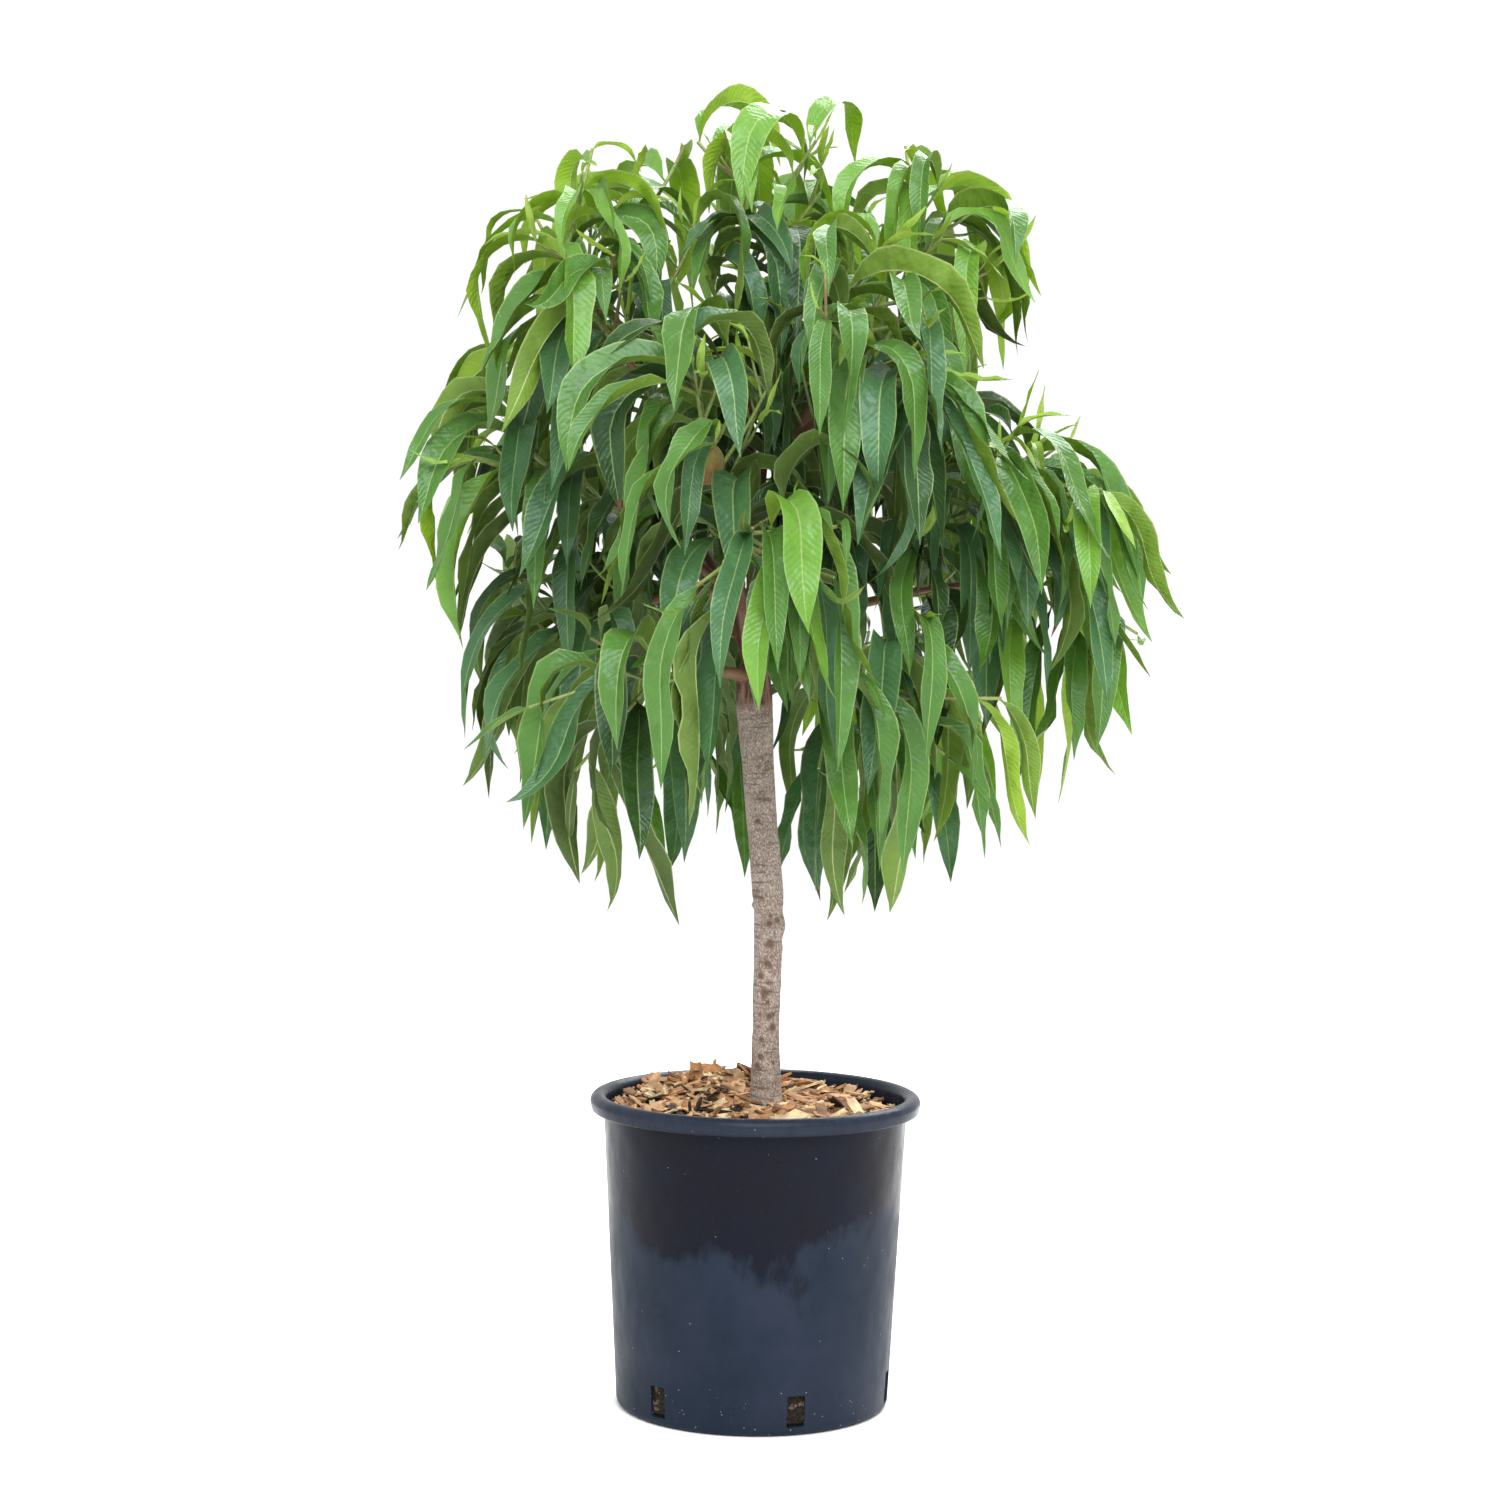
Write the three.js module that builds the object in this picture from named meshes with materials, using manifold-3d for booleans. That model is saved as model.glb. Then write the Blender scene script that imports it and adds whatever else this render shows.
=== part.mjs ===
// A dwarf peach tree in a nursery pot: a dense dome of weeping foliage grafted on a short clear trunk.
//
// Units are millimetres, +Z is up and -Y is the front. The origin is the centre of the pot's flat underside.
// Every bough ends in the space of one mass of foliage. A mass is a stem that carries on from the bough,
// side twigs that branch off the stem, and long drooping leaves set in a spiral round both.

import * as THREE from "three";
import { mergeVertices } from "three/addons/utils/BufferGeometryUtils.js";
import Module from "manifold-3d";

const wasm = await Module();
wasm.setup();

// ---------------------------------------------------------------- driving dimensions

const POT_HEIGHT = 312;
const RIM_RADIUS = 165;
const TRUNK_RADIUS = 14.6; // of the clear stem
const LEAF_LENGTH = 205; // of a grown leaf, on average
const SEED = 12; // of the first mass of foliage, and one more for each next mass
const GAP = 0.3; // clearance between pieces that meet
const WELD = 0.001; // points nearer than this are one point

// ---------------------------------------------------------------- sizes worked out from them

const POT = {
  height: POT_HEIGHT,
  rimRadius: RIM_RADIUS,
  rimDepth: 17, // the rolled rim, from its crest to its lower edge
  rimEdge: 1.5, // how far the lower edge is set in from the rim's widest point
  topRadius: RIM_RADIUS - 14, // outside of the wall just under the rim
  baseRadius: RIM_RADIUS - 29,
  edge: 8, // rounding between the wall and the underside
  wall: 3,
  floor: 4,
  sides: 32,
  curve: 2, // half the number of flats in each rounding
};
const SLOT = { count: 6, turn: 18, width: 18, low: 9, high: 40, depth: 30 }; // round the wall's foot

const MIX_TOP = POT_HEIGHT - 26; // the flat top of the potting mix
const CHIPS = {
  thickness: 11, // of the whole layer
  round: 14, // flats in a quarter of its outline, three of them
  clear: 1.5, // from the trunk
  count: 36,
  length: [22, 45],
  width: [9, 16],
  height: 6,
  taper: 1.25, // width of a chip's thick end over its thin end
  tilt: 17, // degrees either way
  proud: 4, // how far a chip's middle may stand above the layer
  inset: 2, // from the layer's outer edge
  seed: 11,
};

const TRUNK = {
  // the centre line, from the cut on the potting mix to the head that the boughs leave
  line: [[11, 0, MIX_TOP + GAP], [9.5, 0, 375], [10.5, 0, 500], [1, 0, 606], [-6.5, 0, 712], [-8, 0, 748]],
  // thickness at shares of that length, counted in clear stems
  thickness: [
    [0, 1.26], [0.07, 1.05], // root flare
    [0.2, 0.92], [0.33, 0.97], [0.43, 1.06], [0.55, 1.02], // clear stem, a little thicker at half its height
    [0.67, 1.1], [0.77, 1.26], // swelling under the graft
    [0.93, 1.1], [1, 0.5], // round head
  ],
  sides: 10,
  rings: 13,
};

const BOUGH = {
  rootRadius: 0.48 * TRUNK_RADIUS,
  sideRootRadius: 0.37 * TRUNK_RADIUS, // of a bough that leaves another bough
  tipRadius: 0.23 * TRUNK_RADIUS,
  reach: 0.52, // the least share of the way to the mass's tip that the bough covers
  step: 0.02, // and by which it goes on until it is in the mass's space
  knee: 0.55, // where along the bough its bend is
  arch: 0.06, // how far the bend is lifted, as a share of the way to the tip
  sides: 5,
  rings: 4,
};

// The masses of foliage. tip is the end of the main shoot, from is the limb that the bough leaves, and at is
// how far along that limb. lift is how much the side twigs turn up towards the sky.
const MASSES = [
  { name: "top", tip: [-20, -10, 1242], from: "trunk", at: 0.99, lift: 0.5 },
  { name: "upper_right", tip: [155, -60, 1200], from: "top", at: 0.4, lift: 0.45 },
  { name: "upper_left", tip: [-132, 20, 1208], from: "trunk", at: 0.94, lift: 0.45 },
  { name: "upper_back", tip: [25, 175, 1180], from: "top", at: 0.25, lift: 0.45 },
  { name: "shoulder", tip: [-200, -110, 1143], from: "upper_left", at: 0.5, lift: 0.3 },
  { name: "front", tip: [-65, -230, 1012], from: "trunk", at: 0.9, lift: 0.35 },
  { name: "front_low", tip: [-10, -250, 868], from: "front", at: 0.5, lift: 0.1 },
  { name: "front_right", tip: [100, -205, 1028], from: "upper_right", at: 0.3, lift: 0.3 },
  { name: "right", tip: [255, -75, 945], from: "trunk", at: 0.93, lift: 0.25 },
  { name: "left", tip: [-245, -20, 965], from: "upper_left", at: 0.2, lift: 0.25 },
  { name: "far_right", tip: [290, 0, 838], from: "right", at: 0.3, lift: 0.15 },
  { name: "far_left", tip: [-232, 35, 770], from: "left", at: 0.1, lift: 0.15 },
  { name: "lower_left", tip: [-132, -170, 735], from: "trunk", at: 0.86, lift: 0 },
  { name: "lower_right", tip: [135, -180, 712], from: "front", at: 0.2, lift: 0 },
  { name: "back_right", tip: [165, 195, 990], from: "trunk", at: 0.95, lift: 0.25 },
  { name: "back_left", tip: [-130, 210, 1000], from: "trunk", at: 0.91, lift: 0.25 },
  { name: "low_back_left", tip: [-105, 205, 745], from: "back_left", at: 0.2, lift: 0 },
  { name: "low_back_right", tip: [120, 205, 715], from: "back_right", at: 0.2, lift: 0 },
];
const SPACE = {
  sink: 70, // the middle of a mass's space is this far below the main shoot's tip
  squash: 0.5, // the share that heights count for when spaces are parted
  leafMargin: 0.6, // least distance from a leaf to the border of the space
  twigMargin: 4,
  stemMargin: 8,
};
// The crown's outline: how far foliage may reach to the left and to the right at each height. In plan it is
// round, and depth is its reach to the front and back, as a share of the mean of left and right.
const CROWN = {
  reach: [
    [455, 0, 0],
    [480, 110, 160],
    [520, 215, 250],
    [600, 305, 320],
    [700, 315, 385],
    [860, 370, 424],
    [930, 360, 335],
    [1060, 318, 285],
    [1180, 280, 285],
    [1235, 190, 195],
    [1290, 90, 90],
    [1308, 0, 0],
  ],
  depth: 0.98,
};

const STEM = {
  rings: 3,
  rootRadius: 3.6,
  tipRadius: 2.8,
  carry: 0.5, // the share of its length for which it keeps the bough's direction
};
const TWIG = {
  count: 5,
  first: 0.15, // shares of the stem's length at which the first and the last twig leave it
  last: 0.86,
  spread: [45, 64], // degrees from the stem
  length: [70, 120],
  rings: 2,
  rootRadius: 3.2,
  tipRadius: 2.6,
  sides: 3,
};
const LEAF = {
  pitch: 23.5, // distance from one leaf to the next along a twig, on average
  bare: 0.22, // the share of a twig at its foot that has no leaves
  crowd: 0.85, // the power that sets leaves closer together towards the twig's end
  length: [0.87 * LEAF_LENGTH, 1.13 * LEAF_LENGTH],
  shrink: 0.86, // the share of that length that a leaf near the twig's end has
  sizes: [1, 0.85, 0.7], // the shares of its length that are tried until a leaf fits
  width: 0.2, // of its length
  thick: 0.012, // of its length
  crease: 0.16, // how far its edges stand above its midrib, as a share of half its width
  sunk: 1, // how far behind the twig's middle it starts
  splay: [72, 46], // degrees from the twig, at the twig's foot and at its end
  wander: 43, // degrees by which its place in the spiral may be out
  hang: [-96, -60], // the pitch in degrees that it droops to
  bend: [0.35, 0.8], // the share of its length that it takes to droop, times stiff plus the mass's lift
  stiff: 0.75,
  curl: 34, // degrees that it may turn aside by its tip, and roll over
  roll: 40,
  youngLength: 0.42, // the last leaf of a twig is young: the share of a grown leaf's length, and its pitch
  youngHang: [-60, 40],
  steps: 12, // the midrib is worked out at this many steps
  stations: [0, 3, 7, 12], // the steps at which the solid has a section
  shape: [0, 0.9, 1, 0], // the width at each station, as a share of the leaf's width
  patches: 4, // how finely each third of a leaf is tested against the limbs
  clear: 8, // least distance from a leaf to the skin of a limb
};
const GOLDEN = 137.5; // degrees from each leaf, twig or chip to the next, round its stem
const HEADINGS = [0, 30, -30, 60, -60, 90, -90, 120, -120, 150, -150, 180]; // turns tried until it fits

const FINISH = {
  pot: { color: 0x23272e, roughness: 0.42 },
  mix: { color: 0x2b211a, roughness: 0.95 },
  chips: { color: 0xa87b4f, roughness: 0.85 },
  trunk: { color: 0x8d7868, roughness: 0.9 },
  bough: { color: 0x6d5644, roughness: 0.85 },
  foliage: [0x3f8a2c, 0x4b9632, 0x36793a].map((color) => ({ color, roughness: 0.5 })),
};

// ---------------------------------------------------------------- small tools

const vector = (p) => new THREE.Vector3(...p);
const radians = THREE.MathUtils.degToRad;
const between = THREE.MathUtils.lerp;

/** A stream of numbers from 0 to 1 that is the same in every run (the minimal standard generator). */
function randomStream(seed) {
  const [modulus, multiplier, spread, offset] = [2 ** 31 - 1, 16807, 7919, 17];
  let state = (seed * spread + offset) % modulus;
  return () => {
    state = (state * multiplier) % modulus;
    return state / modulus;
  };
}

/** Reads a table of [share, value] pairs, straight from each pair to the next. */
function valueAt(table, share) {
  let i = 1;
  while (i < table.length - 1 && table[i][0] < share) i++;
  const [from, low] = table[i - 1];
  const [to, high] = table[i];
  return between(low, high, THREE.MathUtils.clamp((share - from) / (to - from), 0, 1));
}

/** A closed geometry through rings of points. A ring of one point closes that end to a tip. */
function loft(rings) {
  const starts = rings.map((_, i) => rings.slice(0, i).flat().length);
  const faces = [];
  for (let i = 0; i + 1 < rings.length; i++) {
    const [here, next] = [rings[i].length, rings[i + 1].length];
    for (let k = 0; k < Math.max(here, next); k++) {
      const [a, b] = [starts[i] + (k % here), starts[i] + ((k + 1) % here)];
      const [c, d] = [starts[i + 1] + (k % next), starts[i + 1] + ((k + 1) % next)];
      if (here > 1) faces.push([a, b, d]);
      if (next > 1) faces.push([a, d, c]);
    }
  }
  const last = starts.at(-1);
  for (let k = 2; k < rings[0].length; k++) faces.push([0, k, k - 1]);
  for (let k = 2; k < rings.at(-1).length; k++) faces.push([last, last + k - 1, last + k]);
  return new THREE.BufferGeometry().setFromPoints(rings.flat()).setIndex(faces.flat());
}

/** A solid turned from an outline of [radius, height] points. */
function turned(outline) {
  return new THREE.LatheGeometry(outline, POT.sides).rotateX(Math.PI / 2);
}

/** A three.js geometry as a manifold-3d solid. */
function solid(geometry) {
  const bare = geometry.clone();
  bare.deleteAttribute("normal");
  bare.deleteAttribute("uv");
  const { attributes, index } = mergeVertices(bare, WELD);
  const triVerts = new Uint32Array(index.array);
  const mesh = { numProp: 3, vertProperties: attributes.position.array, triVerts };
  return new wasm.Manifold(new wasm.Mesh(mesh));
}

/** A manifold-3d solid as a three.js geometry. Only its largest body is kept: sealed hollows are filled. */
function geometryOf(made) {
  const body = made.decompose().reduce((best, one) => (one.volume() > best.volume() ? one : best));
  const { vertProperties, triVerts } = body.getMesh();
  const geometry = new THREE.BufferGeometry();
  geometry.setAttribute("position", new THREE.BufferAttribute(vertProperties, 3));
  return geometry.setIndex(new THREE.BufferAttribute(triVerts, 1));
}

/** A named mesh with flat shading. */
function piece(name, geometry, finish) {
  const shaded = geometry.index ? geometry.toNonIndexed() : geometry;
  shaded.computeVertexNormals();
  const mesh = new THREE.Mesh(shaded, new THREE.MeshStandardMaterial({ ...finish, metalness: 0 }));
  mesh.name = name;
  return mesh;
}

// ---------------------------------------------------------------- pot, potting mix and wood chips

/** Radius of the pot's wall at a height, outside and inside. */
const outside = (z) =>
  between(POT.baseRadius, POT.topRadius, (z - POT.edge) / (POT.height - POT.rimDepth - POT.edge));
const inside = (z) => outside(z) - POT.wall;

function potGeometry() {
  const { height, rimRadius, rimDepth, rimEdge, topRadius, baseRadius, edge, wall, floor } = POT;
  const lipRadius = (rimRadius - topRadius + wall) / 2; // the rim is rolled over in a half round
  const outline = new THREE.Path();
  outline.moveTo(0, 0);
  outline.lineTo(baseRadius - edge, 0);
  outline.absarc(baseRadius - edge, edge, edge, -Math.PI / 2, 0, false);
  outline.lineTo(topRadius, height - rimDepth);
  outline.lineTo(rimRadius - rimEdge, height - rimDepth);
  outline.absarc(rimRadius - lipRadius, height - lipRadius, lipRadius, 0, Math.PI, false);
  outline.lineTo(topRadius - wall, height - rimDepth);
  outline.lineTo(inside(floor + edge), floor + edge);
  outline.lineTo(inside(floor + edge) - edge, floor);
  outline.lineTo(0, floor);
  return turned(outline.getPoints(POT.curve));
}

function pot() {
  const slots = Array.from({ length: SLOT.count }, (_, i) => {
    const box = new THREE.BoxGeometry(SLOT.width, SLOT.depth, SLOT.high - SLOT.low);
    box.translate(0, -POT.baseRadius, (SLOT.low + SLOT.high) / 2);
    return solid(box.rotateZ(radians(SLOT.turn + (i * 360) / SLOT.count)));
  });
  return geometryOf(slots.reduce((wall, slot) => wall.subtract(slot), solid(potGeometry())));
}

function pottingMix() {
  const foot = POT.floor + GAP;
  const corner = POT.floor + POT.edge + GAP;
  const outline = [
    [0, foot],
    [inside(POT.floor + POT.edge) - POT.edge - 2 * GAP, foot],
    [inside(POT.floor + POT.edge) - GAP, corner],
    [inside(MIX_TOP) - GAP, MIX_TOP],
    [0, MIX_TOP],
  ];
  return turned(outline.map((p) => new THREE.Vector2(...p)));
}

/** One layer of chips: a ring round the trunk's foot, with flat wedges of wood fused on at seeded places. */
function woodChips() {
  const random = randomStream(CHIPS.seed);
  const [middle, , foot] = TRUNK.line[0];
  const inner = TRUNK.thickness[0][1] * TRUNK_RADIUS + CHIPS.clear;
  const outer = inside(MIX_TOP) * Math.cos(Math.PI / POT.sides) - GAP; // clear of the wall's flats
  const top = foot + CHIPS.thickness;
  const fullTurn = 2 * Math.PI;
  const ring = new THREE.Shape().absarc(0, 0, outer, 0, fullTurn, false);
  ring.holes.push(new THREE.Path().absarc(middle, 0, inner, 0, fullTurn, true));
  const extrusion = { depth: CHIPS.thickness, bevelEnabled: false, curveSegments: CHIPS.round };
  let layer = solid(new THREE.ExtrudeGeometry(ring, extrusion).translate(0, 0, foot));

  for (let i = 0; i < CHIPS.count; i++) {
    const length = between(...CHIPS.length, random());
    const width = between(...CHIPS.width, random());
    const distance = between(inner, outer - CHIPS.inset - length, Math.sqrt(random())) + length / 2;
    const chip = new THREE.CylinderGeometry(width / 2, (width * CHIPS.taper) / 2, length, 3);
    chip.rotateX(Math.PI / 2);
    chip.scale(1, 1, CHIPS.height / width);
    chip.rotateX(radians(between(-CHIPS.tilt, CHIPS.tilt, random())));
    chip.rotateZ(random() * fullTurn);
    chip.translate(distance, 0, top + CHIPS.proud * random());
    chip.rotateZ(i * radians(GOLDEN));
    const { min } = new THREE.Box3().setFromBufferAttribute(chip.attributes.position);
    if (min.z > foot) layer = layer.add(solid(chip));
  }

  const bore = new THREE.CylinderGeometry(inner, inner, CHIPS.thickness * 4, CHIPS.round);
  return geometryOf(layer.subtract(solid(bore.rotateX(Math.PI / 2).translate(middle, 0, top))));
}

// ---------------------------------------------------------------- trunk and boughs

/** A limb is a centre line and a radius for each share of it. Its line is sampled at rings + 1 points. */
function limb(curve, radiusAt, rings) {
  const shares = Array.from({ length: rings + 1 }, (_, i) => i / rings);
  return { curve, points: shares.map((t) => curve.getPoint(t)), radii: shares.map(radiusAt) };
}

/** The limb's rings of points. grow makes it fatter all over. */
function limbRings({ points, radii }, sides, grow = 0) {
  return points.map((p, i) => {
    const ahead = points[Math.min(i + 1, points.length - 1)];
    const way = ahead.clone().sub(points[Math.max(i - 1, 0)]).normalize();
    const side = new THREE.Vector3(0, 1, 0).cross(way).normalize();
    const other = way.clone().cross(side);
    return Array.from({ length: sides }, (_, k) => {
      const turn = (k / sides) * 2 * Math.PI;
      const out = side.clone().multiplyScalar(Math.cos(turn)).addScaledVector(other, Math.sin(turn));
      return p.clone().addScaledVector(out, radii[i] + grow);
    });
  });
}

function trunkLimb() {
  const curve = new THREE.CatmullRomCurve3(TRUNK.line.map(vector));
  return limb(curve, (t) => TRUNK_RADIUS * valueAt(TRUNK.thickness, t), TRUNK.rings);
}

/** The trunk's rings of points, with its foot cut flat on the potting mix. */
function trunkRings(trunk, grow = 0) {
  const rings = limbRings(trunk, TRUNK.sides, grow);
  rings[0].forEach((p) => p.setZ(TRUNK.line[0][2]));
  return rings;
}

/** A bough leaves its parent limb, arches outward and upward and stops inside its mass's space. */
function boughLimb(mass, parent) {
  const start = parent.curve.getPoint(mass.at);
  const way = vector(mass.tip).sub(start);
  const end = new THREE.Vector3();
  let reach = BOUGH.reach;
  while (!inSpace(mass, end.copy(start).addScaledVector(way, reach), SPACE.stemMargin)) reach += BOUGH.step;
  const knee = start.clone().addScaledVector(way, reach * BOUGH.knee);
  knee.z += way.length() * BOUGH.arch;
  const rootRadius = mass.from === "trunk" ? BOUGH.rootRadius : BOUGH.sideRootRadius;
  const curve = new THREE.QuadraticBezierCurve3(start, knee, end);
  return limb(curve, (t) => between(rootRadius, BOUGH.tipRadius, t), BOUGH.rings);
}

// ---------------------------------------------------------------- masses of foliage: the growth rule

/** The middle of a mass's space. It lies below the main shoot's tip, because the leaves hang. */
const middleOf = (mass) => vector(mass.tip).setZ(mass.tip[2] - SPACE.sink);

/** True if p is nearer to this mass's middle than to any other's, with heights counted at a share of their
 *  size, and at least the margin from the flat border between them. So every space is convex and its own. */
function inSpace(mass, p, margin) {
  const squash = new THREE.Vector3(1, 1, SPACE.squash);
  const here = middleOf(mass).multiply(squash);
  const at = p.clone().multiply(squash);
  return MASSES.every((other) => {
    if (other === mass) return true;
    const there = middleOf(other).multiply(squash);
    const gain = at.distanceToSquared(there) - at.distanceToSquared(here);
    return gain / (2 * here.distanceTo(there)) >= margin;
  });
}

/** True if p is inside the crown's outline. */
function inCrown(p) {
  const [left, right] = [1, 2].map((side) => valueAt(CROWN.reach.map((row) => [row[0], row[side]]), p.z));
  const across = p.x / (p.x < 0 ? left : right);
  const deep = p.y / ((CROWN.depth * (left + right)) / 2);
  return across ** 2 + deep ** 2 < 1;
}

/** Distance from p to the skin of the nearest limb. */
function distanceToLimbs(limbs, p) {
  const line = new THREE.Line3();
  const near = new THREE.Vector3();
  let least = Infinity;
  for (const { points, radii } of limbs) {
    for (let i = 0; i + 1 < points.length; i++) {
      const t = line.set(points[i], points[i + 1]).closestPointToPointParameter(p, true);
      least = Math.min(least, line.at(t, near).distanceTo(p) - between(radii[i], radii[i + 1], t));
    }
  }
  return least;
}

/** A direction at an angle from an axis, turned round it. */
function direction(axis, angle, turn) {
  const side = new THREE.Vector3(0, 0, 1).cross(axis).normalize();
  const other = axis.clone().cross(side);
  const out = side.multiplyScalar(Math.cos(turn)).addScaledVector(other, Math.sin(turn));
  return axis.clone().multiplyScalar(Math.cos(angle)).addScaledVector(out, Math.sin(angle)).normalize();
}

/** The stem: from just past the bough's tip to the tip of the main shoot. */
function stemLine(mass, bough) {
  const ahead = bough.curve.getTangent(1);
  const start = bough.curve.getPoint(1).addScaledVector(ahead, GAP);
  const tip = vector(mass.tip);
  const knee = start.clone().addScaledVector(ahead, start.distanceTo(tip) * STEM.carry);
  return new THREE.QuadraticBezierCurve3(start, knee, tip).getPoints(STEM.rings);
}

/** A twig's line: it starts along a direction and bends towards the sky as far as lift says. */
function twigLine(start, way, length, lift) {
  const points = [start.clone()];
  const ahead = way.clone();
  for (let i = 0; i < TWIG.rings; i++) {
    ahead.z += lift / TWIG.rings;
    ahead.normalize();
    points.push(points.at(-1).clone().addScaledVector(ahead, length / TWIG.rings));
  }
  return points;
}

/** The point at a share of a line of points, and the line's direction there. */
function along(points, share) {
  const last = points.length - 2;
  const i = Math.min(Math.floor(share * (last + 1)), last);
  const way = points[i + 1].clone().sub(points[i]);
  const point = points[i].clone().addScaledVector(way, share * (last + 1) - i);
  return { point, way: way.normalize() };
}

const lengthOf = (points) => points.slice(1).reduce((sum, p, i) => sum + p.distanceTo(points[i]), 0);

/** A leaf's midrib: it starts along its stalk's direction and droops in an arc to its own hanging pitch. */
function midrib(leaf) {
  const heading = Math.atan2(leaf.stalk.x, -leaf.stalk.y);
  const pitch = Math.asin(THREE.MathUtils.clamp(leaf.stalk.z, -1, 1));
  const point = leaf.root.clone().addScaledVector(leaf.stalk, -LEAF.sunk);
  const ribs = [];
  for (let i = 0; i <= LEAF.steps; i++) {
    const share = i / LEAF.steps;
    const lean = between(pitch, leaf.hang, Math.min(share / leaf.bend, 1));
    const turn = heading + leaf.curl * share;
    const level = new THREE.Vector3(Math.sin(turn), -Math.cos(turn), 0);
    const ahead = level.multiplyScalar(Math.cos(lean)).setZ(Math.sin(lean));
    const side = new THREE.Vector3(Math.cos(turn), Math.sin(turn), 0);
    side.applyAxisAngle(ahead, leaf.roll * share);
    ribs.push({ point: point.clone(), side, up: ahead.clone().cross(side) });
    point.addScaledVector(ahead, leaf.length / LEAF.steps);
  }
  return ribs;
}

/** The leaf's sections: two edges and the keel under the midrib. The root and the tip are single points. */
function leafRings(leaf) {
  const ribs = midrib(leaf);
  return LEAF.stations.map((step, i) => {
    const { point, side, up } = ribs[step];
    const half = (LEAF.shape[i] * LEAF.width * leaf.length) / 2;
    if (half === 0) return [point];
    const lifted = point.clone().addScaledVector(up, half * LEAF.crease);
    const edge = (sign) => lifted.clone().addScaledVector(side, sign * half);
    return [edge(1), edge(-1), point.clone().addScaledVector(up, -LEAF.thick * leaf.length)];
  });
}

/** Points all over a blade, but for its root. */
function samples(rings) {
  const points = [];
  for (let i = 1; i < rings.length; i++) {
    const [from, to] = [rings[i - 1], rings[i]].map((ring) => [ring[0], ring[1] ?? ring[0]]);
    for (let k = i === 1 ? LEAF.patches / 2 : 0; k <= LEAF.patches; k++) {
      const [left, right] = from.map((p, side) => p.clone().lerp(to[side], k / LEAF.patches));
      points.push(left, right, left.clone().lerp(right, 0.5));
    }
  }
  return points;
}

/** The blade as flat faces, and the edges that another blade would be cut by. */
function bladeOf(rings) {
  const [root, wide, far, tip] = rings.map((ring) => [ring[0], ring[1] ?? ring[0]]);
  const strips = [[root, wide], [wide, far], [far, tip]];
  const faces = strips.flatMap(([[a, b], [c, d]]) => [[a, b, d], [a, d, c]]);
  const edges = [wide, far, ...strips.flatMap(([[a, b], [c, d]]) => [[a, c], [b, d]])];
  return {
    faces: faces.filter((face) => new Set(face).size === face.length),
    edges,
    box: new THREE.Box3().setFromPoints(rings.flat()),
  };
}

/** True if one of the edges passes through one of the faces. */
function pierces(edges, faces) {
  const hit = new THREE.Vector3();
  return edges.some(([from, to]) => {
    const ray = new THREE.Ray(from, to.clone().sub(from).normalize());
    const reach = from.distanceTo(to);
    const isHit = ([a, b, c]) => ray.intersectTriangle(a, b, c, false, hit) !== null;
    return faces.some((face) => isHit(face) && hit.distanceTo(from) < reach);
  });
}

const crosses = (one, other) =>
  one.box.intersectsBox(other.box) && (pierces(one.edges, other.faces) || pierces(other.edges, one.faces));

/** The stem and the twigs that branch off it, as lines of points. A twig is skipped if it fits at none of
 *  the headings. */
function growTwigs(mass, bough, limbs, random) {
  const others = limbs.filter((one) => one !== bough);
  const stem = stemLine(mass, bough);
  const lines = [stem];
  for (let i = 0; i < TWIG.count; i++) {
    const { point, way } = along(stem, between(TWIG.first, TWIG.last, i / (TWIG.count - 1)));
    const turn = radians(GOLDEN * i + 360 * random());
    const spread = radians(between(...TWIG.spread, random()));
    const length = between(...TWIG.length, random());
    const isFree = (p) =>
      inSpace(mass, p, SPACE.twigMargin) && inCrown(p) && distanceToLimbs(others, p) > LEAF.clear;
    const tries = HEADINGS.map((heading) => {
      return twigLine(point, direction(way, spread, turn + radians(heading)), length, mass.lift);
    });
    const line = tries.find((one) => one.every(isFree));
    if (line) lines.push(line);
  }
  return lines;
}

/** One leaf at a share of a twig. It takes the same number of draws whether or not it is skipped later. */
function leafAt(line, share, lift, isLast, random) {
  const { point, way } = along(line, share);
  const [long, drooping, bent, curled, rolled, turned] = Array.from({ length: 6 }, random);
  const size = isLast ? LEAF.youngLength : between(1, LEAF.shrink, share);
  return {
    root: point,
    way,
    splay: radians(between(...LEAF.splay, share)),
    turn: LEAF.wander * turned,
    length: between(...LEAF.length, long) * size,
    hang: radians(between(...(isLast ? LEAF.youngHang : LEAF.hang), drooping)),
    bend: between(...LEAF.bend, bent) * (LEAF.stiff + lift),
    curl: radians(between(-LEAF.curl, LEAF.curl, curled)),
    roll: radians(between(-LEAF.roll, LEAF.roll, rolled)),
  };
}

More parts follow.
